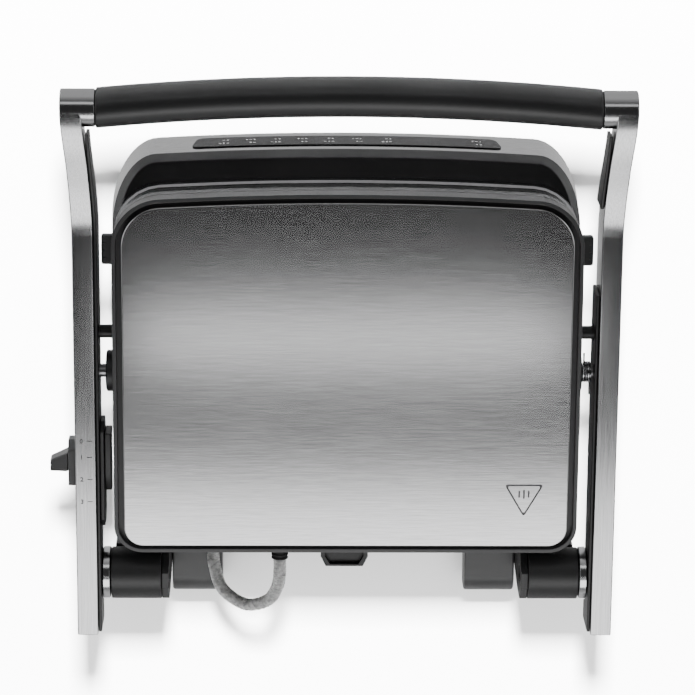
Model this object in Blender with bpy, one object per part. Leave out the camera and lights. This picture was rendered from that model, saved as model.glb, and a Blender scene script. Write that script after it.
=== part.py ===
# Contact grill (panini press) with a floating upper plate on a pair of side arms.
# Frame: metres, +Z up, standing on its four rubber feet, with the origin in the middle of the
# footprint. The handle is towards -Y, the hinge towards +Y, the height slider on the +X side.
# The hinged arms, the lid that tilts in them, the height slider and the two plate release
# buttons are each parented to an empty that stands on their joint.
import math

import bmesh
import bpy
from mathutils import Vector

mm = 0.001

# ---- driving sizes -------------------------------------------------------------------------
COVER_WIDTH = 299 * mm            # stainless lid cover, side to side
COVER_LENGTH = 238 * mm           # stainless lid cover, front to back
COVER_FRONT_Y = -112 * mm         # its front edge, on the middle line
COVER_FRONT_RADIUS = 25 * mm
COVER_REAR_RADIUS = 13 * mm
COVER_SHEET = 1.2 * mm
COVER_PROUD = 2 * mm              # how far the cover stands over the lid's lip
GROOVE_SIDE = 4 * mm              # shadow groove between cover and lip
GROOVE_END = 2.6 * mm
LIP_WALL = 2.6 * mm
FRONT_BOW_RADIUS = 2100 * mm      # all front edges are bowed forwards

FOOT_HEIGHT = 8 * mm
FOOT_RADIUS = 11 * mm
HOUSING_HEIGHT = 44 * mm
HOUSING_WALL = 2.5 * mm
DECK_RISE = 4 * mm
DECK_CHAMFER = 5 * mm
LOWER_PLATE_HEIGHT = 10 * mm      # the part of the lower plate above the deck
PLATE_PLUG = 6 * mm               # the part that sinks into the deck's opening
PLATE_GAP = 5 * mm                # cooking gap with the lid closed and empty
UPPER_PLATE_HEIGHT = 13 * mm
SHELL_HEIGHT = 24 * mm
SHELL_TOP = 3 * mm
GROOVE_DEPTH = 6 * mm

BASE_OVERHANG = 4.4 * mm          # base beyond the lid, each side
BASE_FRONT_REACH = 21 * mm        # base beyond the lid, at the front
BASE_REAR_REACH = 8 * mm
BASE_FRONT_CORNER = (32 * mm, 54 * mm)
BASE_SLOPE = 2.4 * mm             # the walls lean in by this from bottom to top
FASCIA_SHEET = 2 * mm
FASCIA_LENGTH = 78 * mm           # how far the fascia wraps back along the sides
PANEL_WIDTH = 210 * mm
PANEL_BOTTOM = 13 * mm            # above the housing's underside
PANEL_HEIGHT = 22 * mm
PANEL_SLANT = 4 * mm
PANEL_PROUD = 0.8 * mm

RIB_PITCH = 17 * mm
RIB_GROOVE = 9.5 * mm
RIB_DEPTH = 5 * mm
PLATE_RIM = 7 * mm
SPOUT_LENGTH = 25.7 * mm
SPOUT_ROOT_WIDTH = 32.6 * mm
SPOUT_TIP_WIDTH = 25.7 * mm
SPOUT_TAPER = 7 * mm              # the last stretch of the spout narrows
SPOUT_WALL = 3 * mm
SPOUT_DEPTH = 7 * mm

ARM_GAP = 12.4 * mm               # lid side to arm
ARM_THICKNESS = 14 * mm
ARM_HEIGHT = 34 * mm
ARM_FRONT_HEIGHT = 22 * mm
ARM_FLARE = 3.5 * mm              # the arms spread outwards towards the handle
ARM_MIDDLE_Z = 83 * mm
ARM_TAIL = 38.5 * mm              # behind the hinge axis
ARM_RISE = 90 * mm                # the arms climb to the handle over this length
LINER_THICKNESS = 2.2 * mm
LINER_INSET = 2 * mm
LINER_FRONT_LENGTH = 69 * mm      # the left liner is in two, and its front one ends here
LINER_BREAK = 60 * mm             # bare arm between the two

HANDLE_REACH = 58.3 * mm          # arm eyes in front of the lid
HANDLE_Z = 112 * mm
HANDLE_BOW_RADIUS = 1700 * mm
GRIP_RADIUS = 13.3 * mm
GRIP_BORE = 8 * mm
HANDLE_ROD_RADIUS = 5.5 * mm
EYE_RADIUS = 12.5 * mm
EYE_WIDTH = 22.7 * mm
EYE_BORE = 8.5 * mm

PIVOT_BEHIND_MIDDLE = 3 * mm
PIVOT_Z = 84 * mm
PIVOT_PIN_RADIUS = 4.5 * mm
PIVOT_BOSS_RADIUS = 14 * mm
PEG_AHEAD = 27.4 * mm             # stop pegs in front of the pivot
PEG_RADIUS = 4.5 * mm
PEG_PLAY = 1.4 * mm               # lets the lid tilt before a peg meets its arm
SPRING_WIRE = 1.2 * mm
SPRING_TURNS = 4.5

HINGE_BEHIND_LID = 24.3 * mm
HINGE_Z = 80 * mm
BARREL_RADIUS = 17.7 * mm
BARREL_LENGTH = 34 * mm
COLLAR_RADIUS = 18 * mm
COLLAR_LENGTH = 6 * mm
COLLAR_SLIT = 2.2 * mm
SHAFT_RADIUS = 6 * mm
EAR_THICKNESS = 5 * mm
STAND_WIDTH = 35 * mm
STAND_LENGTH = 48 * mm
STAND_TOP = 38 * mm
STAND_CORNER = 14 * mm

SLIDER_AHEAD = 82.5 * mm          # slider at its lock mark, in front of the hinge axis
SLIDER_BACK = 11 * mm             # travel towards the handle
SLIDER_ON = 31 * mm               # travel towards the hinge
SLIDER_PLATE = (4.8 * mm, 31 * mm, 22 * mm)
KNOB_SIZE = (12.2 * mm, 13.5 * mm, 15 * mm)
KNOB_STEM_HEIGHT = 6 * mm
STEM_LENGTH = 8 * mm
STEM_HEIGHT = 7 * mm
CAM_LENGTH = 42 * mm
CAM_HEIGHT = 20 * mm
CAM_THICKNESS = 4.2 * mm
LATCH_HOUSING_HEIGHT = 26 * mm
LATCH_HOUSING_THICKNESS = 2.6 * mm
LATCH_HOUSING_MARGIN = (14 * mm, 10 * mm)

BUTTON_BACK = 41 * mm             # release buttons, behind the lid's front edge
BUTTON_LENGTH = 20 * mm
BUTTON_HEIGHT = 8 * mm
BUTTON_OUT = 7.2 * mm
BUTTON_DEPTH = 7 * mm             # inside the lid's wall

HEATER_RADIUS = 3.3 * mm
HEATER_MARGIN = 45 * mm
HEAT_TRAY_DEPTH = 10 * mm
SHEET = 1 * mm
BOARD_SIZE = (150 * mm, 1.6 * mm, 24 * mm)
BOTTOM_PLATE_SHEET = 1.2 * mm
BOTTOM_PLATE_MARGIN = 44 * mm

CONDUIT_RADIUS = 4.5 * mm
CONDUIT_BASE_X = 91 * mm
CONDUIT_LID_X = 44.6 * mm
CONDUIT_LID_Z = 92 * mm
CONDUIT_REACH = 55.3 * mm         # how far the loop hangs out behind the lid
RELIEF_LENGTH = 10 * mm
RELIEF_WALL = 1.5 * mm
GLAND_X = -32 * mm
GLAND_Z = 24 * mm
GLAND_RADIUS = 7 * mm

GAP = 0.3 * mm                    # between pieces that touch
RUN = 0.5 * mm                    # between pieces that move on each other
EDGE = 1.5 * mm                   # general small bevel
ROUND_STEPS = 20                  # sides of a turned piece
CORNER_STEPS = 6
FRONT_STEPS = 10

# ---- levels and places that follow from them -----------------------------------------------
base_z = FOOT_HEIGHT
deck_z = base_z + HOUSING_HEIGHT
deck_top_z = deck_z + DECK_RISE
lower_plate_z = deck_top_z + GAP
lower_top_z = deck_top_z + LOWER_PLATE_HEIGHT
upper_plate_z = lower_top_z + PLATE_GAP
upper_top_z = upper_plate_z + UPPER_PLATE_HEIGHT
shell_z = upper_top_z + GAP
shell_top_z = upper_top_z + SHELL_HEIGHT
groove_z = shell_top_z - GROOVE_DEPTH
cover_top_z = shell_top_z + COVER_PROUD
cavity_top_z = groove_z - SHELL_TOP

cover_rear_y = COVER_FRONT_Y + COVER_LENGTH
lid_half = COVER_WIDTH / 2 + GROOVE_SIDE + LIP_WALL
lid_front_y = COVER_FRONT_Y - GROOVE_END - LIP_WALL
lid_rear_y = cover_rear_y + GROOVE_END + LIP_WALL
base_half = lid_half + BASE_OVERHANG
base_front_y = lid_front_y - BASE_FRONT_REACH
base_rear_y = lid_rear_y + BASE_REAR_REACH
hinge_y = lid_rear_y + HINGE_BEHIND_LID
pivot_y = (COVER_FRONT_Y + cover_rear_y) / 2 + PIVOT_BEHIND_MIDDLE
peg_y = pivot_y - PEG_AHEAD
slider_y = hinge_y - SLIDER_AHEAD
arm_inner = lid_half + ARM_GAP
arm_outer = arm_inner + ARM_THICKNESS
tail_y = hinge_y + ARM_TAIL
eye_y = lid_front_y - HANDLE_REACH
eye_inner = arm_outer + ARM_FLARE + EDGE - EYE_WIDTH
eye_outer = eye_inner + EYE_WIDTH
grip_half = eye_inner - GAP
liner_inner = arm_inner - GAP - LINER_THICKNESS
collar_outer = liner_inner - GAP
collar_inner = collar_outer - COLLAR_LENGTH
barrel_outer = collar_inner - GAP
barrel_inner = barrel_outer - BARREL_LENGTH
ear_outer = barrel_inner - GAP
ear_inner = ear_outer - EAR_THICKNESS
stand_outer = ear_inner - GAP
stand_inner = stand_outer - STAND_WIDTH
conduit_base_z = STAND_TOP + RUN + RELIEF_WALL + CONDUIT_RADIUS
housing_inset = FASCIA_SHEET + GAP


# ---- shapes --------------------------------------------------------------------------------
def plan(half, front_y, rear_y, front_corner, rear_corner):
    return {"half": half, "front": front_y, "rear": rear_y,
            "front_corner": front_corner, "rear_corner": rear_corner}


cover_plan = plan(COVER_WIDTH / 2, COVER_FRONT_Y, cover_rear_y,
                  (COVER_FRONT_RADIUS, COVER_FRONT_RADIUS), (COVER_REAR_RADIUS, COVER_REAR_RADIUS))
lid_margin = (GROOVE_SIDE + GROOVE_END) / 2 + LIP_WALL
lid_plan = plan(lid_half, lid_front_y, lid_rear_y,
                (COVER_FRONT_RADIUS + lid_margin,) * 2, (COVER_REAR_RADIUS + lid_margin,) * 2)
base_plan = plan(base_half, base_front_y, base_rear_y, BASE_FRONT_CORNER,
                 (COVER_REAR_RADIUS + lid_margin,) * 2)


def outline(shape, inset):
    """Points of a plan outline moved inwards by inset, counter-clockwise from the front left."""
    half = shape["half"] - inset
    front = shape["front"] + inset
    rear = shape["rear"] - inset
    smallest = 0.6 * mm
    front_x, front_y = (max(size - inset, smallest) for size in shape["front_corner"])
    rear_x, rear_y = (max(size - inset, smallest) for size in shape["rear_corner"])
    points = []
    for step in range(FRONT_STEPS + 1):
        points.append((-half + front_x + (half - front_x) * 2 * step / FRONT_STEPS, front))
    corners = ((half - front_x, front + front_y, front_x, front_y, -90),
               (half - rear_x, rear - rear_y, rear_x, rear_y, 0),
               (-half + rear_x, rear - rear_y, rear_x, rear_y, 90),
               (-half + front_x, front + front_y, front_x, front_y, 180))
    for index, (centre_x, centre_y, radius_x, radius_y, start) in enumerate(corners):
        first = 1 if index == 0 else 0
        last = CORNER_STEPS if index == 3 else CORNER_STEPS + 1
        for step in range(first, last):
            angle = math.radians(start + 90 * step / CORNER_STEPS)
            points.append((centre_x + radius_x * math.cos(angle),
                           centre_y + radius_y * math.sin(angle)))
    bowed = []
    for x, y in points:
        share = (rear - y) / (rear - front)
        bowed.append((x, y + share * x * x / (2 * FRONT_BOW_RADIUS)))
    return bowed


def level(shape, inset, z):
    return [Vector((x, y, z)) for x, y in outline(shape, inset)]


def circle(centre, radius, axis, sides=ROUND_STEPS):
    """A ring of points round one of the frame's axes."""
    first, second = {"X": ((0, 1, 0), (0, 0, 1)), "Y": ((0, 0, 1), (1, 0, 0)),
                     "Z": ((1, 0, 0), (0, 1, 0))}[axis]
    ring = []
    for step in range(sides):
        angle = 2 * math.pi * step / sides
        ring.append(Vector(centre) + radius * (math.cos(angle) * Vector(first)
                                               + math.sin(angle) * Vector(second)))
    return ring


def add_object(name, data, material, parent):
    item = bpy.data.objects.new(name, data)
    bpy.context.scene.collection.objects.link(item)
    if material:
        data.materials.append(finishes[material])
    if parent:
        item.parent = parent
        item.location = -parent.location
    return item


def loft(name, rings, material=None, parent=None, closed=False):
    """A skin over rings of equal count: capped at both ends, or closed round into itself."""
    work = bmesh.new()
    rows = [[work.verts.new(point) for point in ring] for ring in rings]
    count = len(rows[0])
    pairs = list(zip(rows, rows[1:]))
    if closed:
        pairs.append((rows[-1], rows[0]))
    for lower, upper in pairs:
        for index in range(count):
            after = (index + 1) % count
            work.faces.new((lower[index], lower[after], upper[after], upper[index]))
    if not closed:
        work.faces.new(rows[0][::-1])
        work.faces.new(rows[-1])
    bmesh.ops.recalc_face_normals(work, faces=work.faces)
    mesh = bpy.data.meshes.new(name)
    work.to_mesh(mesh)
    work.free()
    mesh.shade_smooth()
    mesh.set_sharp_from_angle(angle=math.radians(32))
    return add_object(name, mesh, material, parent)


def turned(name, profile, centre, axis, material=None, parent=None, closed=False):
    """A solid of revolution: profile pairs are (place along the axis, radius)."""
    direction = Vector({"X": (1, 0, 0), "Y": (0, 1, 0), "Z": (0, 0, 1)}[axis])
    rings = [circle(Vector(centre) + direction * along, radius, axis) for along, radius in profile]
    return loft(name, rings, material, parent, closed)


def box(name, low, high, material=None, parent=None, bevel=0.0):
    """A block between two corners, which may be given in any order."""
    low, high = Vector(low), Vector(high)
    work = bmesh.new()
    bmesh.ops.create_cube(work, size=1)
    size = [abs(b - a) for a, b in zip(low, high)]
    bmesh.ops.scale(work, vec=size, verts=work.verts)
    bmesh.ops.translate(work, vec=(low + high) / 2, verts=work.verts)
    mesh = bpy.data.meshes.new(name)
    work.to_mesh(mesh)
    work.free()
    item = add_object(name, mesh, material, parent)
    if bevel:
        soften(item, bevel)
    return item


def prism(name, points, axis, low, high, material=None, parent=None):
    """An outline in the plane across an axis, extruded along that axis."""
    def place(first, second, along):
        return {"X": (along, first, second), "Y": (first, along, second),
                "Z": (first, second, along)}[axis]
    rings = [[Vector(place(a, b, along)) for a, b in points] for along in (low, high)]
    return loft(name, rings, material, parent)


def soften(item, width, segments=2):
    bevel = item.modifiers.new("soften", "BEVEL")
    bevel.width = width
    bevel.segments = segments
    bevel.limit_method = "ANGLE"
    bevel.angle_limit = math.radians(40)


def shape_by(item, tool, operation="DIFFERENCE"):
    tool.hide_render = True
    tool.display_type = "WIRE"
    step = item.modifiers.new(operation.lower(), "BOOLEAN")
    step.operation = operation
    step.object = tool
    step.solver = "EXACT"


def drill(item, centre, radius, axis, low, high):
    """Cuts a round hole along an axis."""
    tool = turned(item.name + "_drill", [(low, radius), (high, radius)], centre, axis)
    shape_by(item, tool)


def mill(item, low, high):
    shape_by(item, box(item.name + "_mill", low, high))


def join_meshes(name, pieces):
    """One cutter from several blocks that stand clear of each other."""
    work = bmesh.new()
    for piece in pieces:
        work.from_mesh(piece.data)
        bpy.data.objects.remove(piece)
    mesh = bpy.data.meshes.new(name)
    work.to_mesh(mesh)
    work.free()
    return add_object(name, mesh, None, None)


def wire(name, points, radius, resolution, material, parent=None):
    """A round rod along points, as a bevelled curve with closed ends."""
    data = bpy.data.curves.new(name, "CURVE")
    data.dimensions = "3D"
    data.bevel_depth = radius
    data.bevel_resolution = resolution
    data.use_fill_caps = True
    spline = data.splines.new("POLY")
    spline.points.add(len(points) - 1)
    for slot, point in zip(spline.points, points):
        slot.co = (*point, 1)
    return add_object(name, data, material, parent)


def smooth_path(points, spacing):
    """Evenly spread points on a Catmull-Rom curve through the given points."""
    points = [Vector(point) for point in points]
    ends = [2 * points[0] - points[1], *points, 2 * points[-1] - points[-2]]
    dense = []
    fine = 24
    for a, b, c, d in zip(ends, ends[1:], ends[2:], ends[3:]):
        for step in range(fine):
            t = step / fine
            dense.append(0.5 * (2 * b + (c - a) * t + (2 * a - 5 * b + 4 * c - d) * t ** 2
                                + (3 * b - a - 3 * c + d) * t ** 3))
    dense.append(points[-1])
    travelled = [0.0]
    for a, b in zip(dense, dense[1:]):
        travelled.append(travelled[-1] + (b - a).length)
    count = max(2, round(travelled[-1] / spacing))
    picked = []
    index = 0
    for step in range(count + 1):
        goal = travelled[-1] * step / count
        while index < len(travelled) - 2 and travelled[index + 1] < goal:
            index += 1
        part = (goal - travelled[index]) / (travelled[index + 1] - travelled[index])
        picked.append(dense[index].lerp(dense[index + 1], part))
    return picked


# ---- finishes ------------------------------------------------------------------------------
def finish(name, colour, roughness, metallic=0.0):
    material = bpy.data.materials.new(name)
    material.use_nodes = True
    shader = material.node_tree.nodes["Principled BSDF"]
    shader.inputs["Base Color"].default_value = (*colour, 1)
    shader.inputs["Roughness"].default_value = roughness
    shader.inputs["Metallic"].default_value = metallic
    return material


def empty_at(name, place, parent=None):
    item = bpy.data.objects.new(name, None)
    item.location = Vector(place) - (parent.location if parent else Vector())
    bpy.context.scene.collection.objects.link(item)
    item.parent = parent
    return item


# ---- base ----------------------------------------------------------------------------------
def base_level(inset, z):
    """Base outline at a height, leaning in from the bottom to the deck."""
    lean = BASE_SLOPE * (z - base_z) / HOUSING_HEIGHT
    return level(base_plan, inset + lean, z)


def make_housing():
    top = deck_z - GAP
    floor = base_z + HOUSING_WALL
    housing = loft("base_housing", [
        base_level(housing_inset + EDGE, base_z),
        base_level(housing_inset, base_z + EDGE),
        base_level(housing_inset, top),
        base_level(housing_inset + HOUSING_WALL, top),
        base_level(housing_inset + HOUSING_WALL, floor)], "black_plastic")
    wall = 3 * HOUSING_WALL
    drill(housing, (CONDUIT_BASE_X, base_rear_y, conduit_base_z), CONDUIT_RADIUS + RUN, "Y",
          -housing_inset - BASE_SLOPE - wall, wall)
    drill(housing, (GLAND_X, base_rear_y, GLAND_Z), GLAND_RADIUS - EDGE + GAP, "Y",
          -housing_inset - BASE_SLOPE - wall, wall)


def make_deck():
    inner = PLATE_PLUG - GAP
    loft("base_deck", [
        level(base_plan, BASE_SLOPE, deck_z),
        level(base_plan, BASE_SLOPE + DECK_CHAMFER, deck_top_z),
        level(lid_plan, inner, deck_top_z),
        level(lid_plan, inner, deck_z)], "black_plastic", closed=True)


def make_fascia():
    low, high = base_z + EDGE, deck_z - GAP
    fascia = loft("front_fascia", [
        base_level(0, low), base_level(0, high),
        base_level(FASCIA_SHEET, high), base_level(FASCIA_SHEET, low)], "brushed_steel", closed=True)
    margin = 10 * mm
    mill(fascia, (-base_half - margin, base_front_y + FASCIA_LENGTH, base_z - margin),
         (base_half + margin, base_rear_y + margin, deck_top_z + margin))


def make_control_panel():
    low = base_z + PANEL_BOTTOM
    high = low + PANEL_HEIGHT
    panel = loft("control_panel", [
        base_level(-PANEL_PROUD, low), base_level(-PANEL_PROUD, high),
        base_level(-GAP, high), base_level(-GAP, low)], "gloss_black", closed=True)
    half = PANEL_WIDTH / 2
    reach = 30 * mm
    slanted = [(-half + PANEL_SLANT, low - EDGE), (half - PANEL_SLANT, low - EDGE),
               (half, high + EDGE), (-half, high + EDGE)]
    shape_by(panel, prism("panel_window", slanted, "Y", base_front_y - reach,
                          base_front_y + reach), "INTERSECT")


def rib_cutter(name, low, high):
    """Parallel grooves that leave the ribs and the rim of a cooking plate standing."""
    half = lid_half - PLATE_RIM - RIB_GROOVE / 2
    count = 2 * int(half / RIB_PITCH) + 1
    front = lid_front_y + PLATE_RIM + COVER_FRONT_RADIUS / 3
    rear = lid_rear_y - PLATE_RIM
    grooves = []
    for index in range(count):
        x = (index - (count - 1) / 2) * RIB_PITCH
        grooves.append(box("groove", (x - RIB_GROOVE / 2, front, low), (x + RIB_GROOVE / 2, rear, high)))
    return join_meshes(name, grooves)


def make_lower_plate():
    inner = PLATE_PLUG
    plate = loft("lower_plate", [
        level(lid_plan, inner, deck_z - PLATE_PLUG),
        level(lid_plan, inner, lower_plate_z),
        level(lid_plan, 0, lower_plate_z),
        level(lid_plan, 0, lower_top_z - EDGE),
        level(lid_plan, EDGE, lower_top_z)], "cast_plate")
    tip = lid_rear_y + SPOUT_LENGTH
    root = lid_rear_y - PLATE_RIM
    spout = [(-SPOUT_ROOT_WIDTH / 2, root), (SPOUT_ROOT_WIDTH / 2, root),
             (SPOUT_ROOT_WIDTH / 2, tip - SPOUT_TAPER), (SPOUT_TIP_WIDTH / 2, tip),
             (-SPOUT_TIP_WIDTH / 2, tip), (-SPOUT_ROOT_WIDTH / 2, tip - SPOUT_TAPER)]
    shape_by(plate, prism("spout_body", spout, "Z", lower_plate_z + EDGE,
                          lower_plate_z + SPOUT_DEPTH), "UNION")
    over = 4 * mm
    shape_by(plate, rib_cutter("lower_grooves", lower_top_z - RIB_DEPTH, lower_top_z + over))
    gutter_width = RIB_GROOVE
    mill(plate, (-lid_half + PLATE_RIM + RIB_GROOVE, root - gutter_width, lower_top_z - RIB_DEPTH - EDGE),
         (lid_half - PLATE_RIM - RIB_GROOVE, root + GAP, lower_top_z + over))
    root_half = SPOUT_ROOT_WIDTH / 2 - SPOUT_WALL
    tip_half = SPOUT_TIP_WIDTH / 2 - SPOUT_WALL
    channel = [(-root_half, root - gutter_width / 2), (root_half, root - gutter_width / 2),
               (root_half, tip - SPOUT_TAPER), (tip_half, tip - SPOUT_WALL / 2),
               (-tip_half, tip - SPOUT_WALL / 2), (-root_half, tip - SPOUT_TAPER)]
    shape_by(plate, prism("spout_channel", channel, "Z", lower_plate_z + EDGE + SPOUT_WALL / 2,
                          lower_top_z + over))


def heater_path(z):
    """A flat U of heating tube that keeps a margin to the plate's edge."""
    side = lid_half - HEATER_MARGIN
    front = lid_front_y + HEATER_MARGIN
    rear = lid_rear_y - HEATER_MARGIN
    bend = 30 * mm
    points = [Vector((-side, rear, z)), Vector((-side, front + bend, z))]
    steps = 5
    for centre_x, start in ((-side + bend, 180), (side - bend, 270)):
        for step in range(1, steps + 1):
            angle = math.radians(start + 90 * step / steps)
            points.append(Vector((centre_x + bend * math.cos(angle),
                                  front + bend + bend * math.sin(angle), z)))
    points.append(Vector((side, rear, z)))
    return points


def make_base_insides():
    heater_z = deck_z - PLATE_PLUG - HEATER_RADIUS - GAP
    wire("lower_heater", heater_path(heater_z), HEATER_RADIUS, 2, "heater_tube")
    tray_top = heater_z - HEATER_RADIUS - 2 * mm
    tray_inset = 3 * PLATE_PLUG
    loft("heat_tray", [
        level(lid_plan, tray_inset, tray_top - HEAT_TRAY_DEPTH),
        level(lid_plan, tray_inset, tray_top),
        level(lid_plan, tray_inset + SHEET, tray_top),
        level(lid_plan, tray_inset + SHEET, tray_top - HEAT_TRAY_DEPTH + SHEET)], "bare_steel")
    length, thickness, height = BOARD_SIZE
    board_y = base_front_y + housing_inset + BASE_SLOPE + HOUSING_WALL + 4 * mm
    board_z = base_z + PANEL_BOTTOM - 2 * mm
    box("control_board", (-length / 2, board_y, board_z),
        (length / 2, board_y + thickness, board_z + height), "circuit_board")


def make_underside():
    top = base_z - GAP
    loft("bottom_plate", [
        level(base_plan, BOTTOM_PLATE_MARGIN, top - BOTTOM_PLATE_SHEET),
        level(base_plan, BOTTOM_PLATE_MARGIN, top)], "bare_steel")
    feet = {"foot_front": base_front_y + 33 * mm, "foot_rear": base_rear_y - 26 * mm}
    for name, y in feet.items():
        for side_name, side in sides.items():
            x = side * (base_half - 27 * mm)
            turned(name + side_name, [(0, FOOT_RADIUS - EDGE), (EDGE, FOOT_RADIUS),
                                      (FOOT_HEIGHT - GAP, FOOT_RADIUS - EDGE / 2)], (x, y, 0), "Z", "rubber")


def make_hinge_supports():
    wall_y = base_rear_y + GAP
    leg_low = base_z + 6 * mm
    for side_name, side in sides.items():
        barrel = turned("hinge_barrel" + side_name,
                        [(barrel_inner * side, BARREL_RADIUS - EDGE / 2),
                         ((barrel_inner + EDGE / 2) * side, BARREL_RADIUS),
                         ((barrel_outer - EDGE / 2) * side, BARREL_RADIUS),
                         (barrel_outer * side, BARREL_RADIUS - EDGE / 2)],
                        (0, hinge_y, HINGE_Z), "X", "black_plastic")
        leg_inset = 2 * mm
        leg = box("barrel_leg" + side_name,
                  ((barrel_inner + leg_inset) * side, wall_y, leg_low),
                  ((barrel_outer - leg_inset) * side, hinge_y + BARREL_RADIUS / 2,
                   HINGE_Z - BARREL_RADIUS / 2))
        shape_by(barrel, leg, "UNION")
        reach = 5 * mm
        drill(barrel, (0, hinge_y, HINGE_Z), SHAFT_RADIUS + RUN / 2, "X",
              *sorted(((barrel_inner - reach) * side, (barrel_outer + reach) * side)))
        chamfer = 11 * mm
        front = max(wall_y, hinge_y - BARREL_RADIUS + EDGE)
        rear = hinge_y + BARREL_RADIUS - EDGE / 2
        top = HINGE_Z + BARREL_RADIUS - EDGE
        ear_points = [(front, leg_low), (rear - chamfer, leg_low), (rear, HINGE_Z - chamfer),
                      (rear, top - chamfer), (rear - chamfer, top),
                      (front + chamfer, top), (front, top - chamfer)]
        ear = prism("hinge_ear" + side_name, ear_points, "X", *sorted((ear_inner * side, ear_outer * side)),
                    "black_plastic")
        drill(ear, (0, hinge_y, HINGE_Z), SHAFT_RADIUS + RUN / 2, "X",
              *sorted(((ear_inner - reach) * side, (ear_outer + reach) * side)))
        rear = base_rear_y + GAP + STAND_LENGTH
        stand_points = [(wall_y, base_z + EDGE), (rear, base_z + EDGE)]
        for step in range(CORNER_STEPS + 1):
            angle = math.radians(90 * step / CORNER_STEPS)
            stand_points.append((rear - STAND_CORNER + STAND_CORNER * math.cos(angle),
                                 STAND_TOP - STAND_CORNER + STAND_CORNER * math.sin(angle)))
        stand_points.append((wall_y, STAND_TOP))
        stand = prism("rear_stand" + side_name, stand_points, "X",
                      *sorted((stand_inner * side, stand_outer * side)), "grey_plastic")
        soften(stand, EDGE)


def make_base():
    make_housing()
    make_deck()
    make_fascia()
    make_control_panel()
    make_lower_plate()
    make_base_insides()
    make_underside()
    make_hinge_supports()
    neck = GLAND_RADIUS - EDGE
    turned("mains_gland", [(-housing_inset - BASE_SLOPE - HOUSING_WALL - EDGE, neck), (GAP, neck),
                           (GAP, GLAND_RADIUS), (4 * mm, GLAND_RADIUS), (9 * mm, neck - EDGE),
                           (9 * mm, neck - 2 * EDGE),
                           (-housing_inset - BASE_SLOPE - HOUSING_WALL - EDGE, neck - 2 * EDGE)],
           (GLAND_X, base_rear_y, GLAND_Z), "Y", "rubber", closed=True)


# ---- arms ----------------------------------------------------------------------------------
def arm_course(y):
    """Middle height, half height and outward shift of an arm at a place along it."""
    share = min(max((eye_y + ARM_RISE - y) / ARM_RISE, 0), 1)
    ease = share * share * (3 - 2 * share)
    middle = ARM_MIDDLE_Z + (HANDLE_Z - ARM_MIDDLE_Z) * ease
    half = (ARM_HEIGHT + (ARM_FRONT_HEIGHT - ARM_HEIGHT) * ease) / 2
    return middle, half, ARM_FLARE * ease


def arm_section(y, side, inner, outer, inset, corner):
    """A chamfered rectangle across an arm."""
    middle, half, shift = arm_course(y)
    low, high = middle - half + inset, middle + half - inset
    x_in, x_out = inner + shift, outer + shift
    points = [(x_in + corner, low), (x_out - corner, low), (x_out, low + corner), (x_out, high - corner),
              (x_out - corner, high), (x_in + corner, high), (x_in, high - corner), (x_in, low + corner)]
    return [Vector((side * x, y, z)) for x, z in points]


def arm_stations(front, rear):
    """Places along an arm, close together where it curves."""
    straight_y = eye_y + ARM_RISE
    if front >= straight_y:
        return [front, rear]
    curve_end = min(straight_y, rear)
    steps = 11
    curved = [front + (curve_end - front) * step / steps for step in range(steps + 1)]
    return curved + ([rear] if rear > curve_end else [])


def make_arm(side_name, side, parent):
    front = eye_y + EYE_RADIUS / 2
    rings = [arm_section(y, side, arm_inner, arm_outer, 0, EDGE / 2) for y in arm_stations(front, tail_y)]
    arm = loft("arm" + side_name, rings, "brushed_aluminium", parent)
    eye = turned("arm_eye" + side_name,
                 [(eye_inner * side, EYE_RADIUS - EDGE / 2), ((eye_inner + EDGE / 2) * side, EYE_RADIUS),
                  ((eye_outer - EDGE / 2) * side, EYE_RADIUS), (eye_outer * side, EYE_RADIUS - EDGE / 2)],
                 (0, eye_y, HANDLE_Z), "X", None, parent)
    shape_by(arm, eye, "UNION")
    reach = 30 * mm
    floor = 3 * mm
    for y, z, radius, low, high in (
            (eye_y, HANDLE_Z, EYE_BORE, eye_inner - reach, eye_outer - floor),
            (hinge_y, HINGE_Z, SHAFT_RADIUS + GAP, arm_inner - reach, arm_outer - 2 * floor),
            (pivot_y, PIVOT_Z, PIVOT_PIN_RADIUS + GAP, arm_inner - reach, arm_outer - floor),
            (peg_y, PIVOT_Z, PEG_RADIUS + PEG_PLAY, arm_inner - reach, arm_outer - floor)):
        tool = turned("arm_drill" + side_name, [(low * side, radius), (high * side, radius)],
                      (0, y, z), "X", None, parent)
        shape_by(arm, tool)
    return arm


def make_liner_strip(name, side, front, rear, parent):
    rings = [arm_section(y, side, liner_inner, arm_inner - GAP, LINER_INSET, EDGE / 3)
             for y in arm_stations(front, rear)]
    return loft(name, rings, "black_plastic", parent)


def make_liner(side_name, side, parent):
    """The strip that lines an arm, bored for the hinge, the pivot and the stop peg."""
    inner, outer = liner_inner, arm_inner - GAP
    front = eye_y + EYE_RADIUS + 4 * mm
    if side < 0:
        make_liner_strip("arm_liner_front" + side_name, side, front, eye_y + LINER_FRONT_LENGTH, parent)
        front = eye_y + LINER_FRONT_LENGTH + LINER_BREAK
    liner = make_liner_strip("arm_liner" + side_name, side, front, tail_y - LINER_INSET, parent)
    reach = 8 * mm
    for y, z, radius in ((hinge_y, HINGE_Z, SHAFT_RADIUS + GAP), (pivot_y, PIVOT_Z, PIVOT_PIN_RADIUS + GAP),
                         (peg_y, PIVOT_Z, PEG_RADIUS + PEG_PLAY)):
        tool = turned("liner_drill" + side_name,
                      [((inner - reach) * side, radius), ((outer + reach) * side, radius)],
                      (0, y, z), "X", None, parent)
        shape_by(liner, tool)
    return liner


def handle_y(x):
    """Middle line of the bowed handle, which meets the eyes at its ends."""
    return eye_y - (grip_half * grip_half - x * x) / (2 * HANDLE_BOW_RADIUS)


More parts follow.
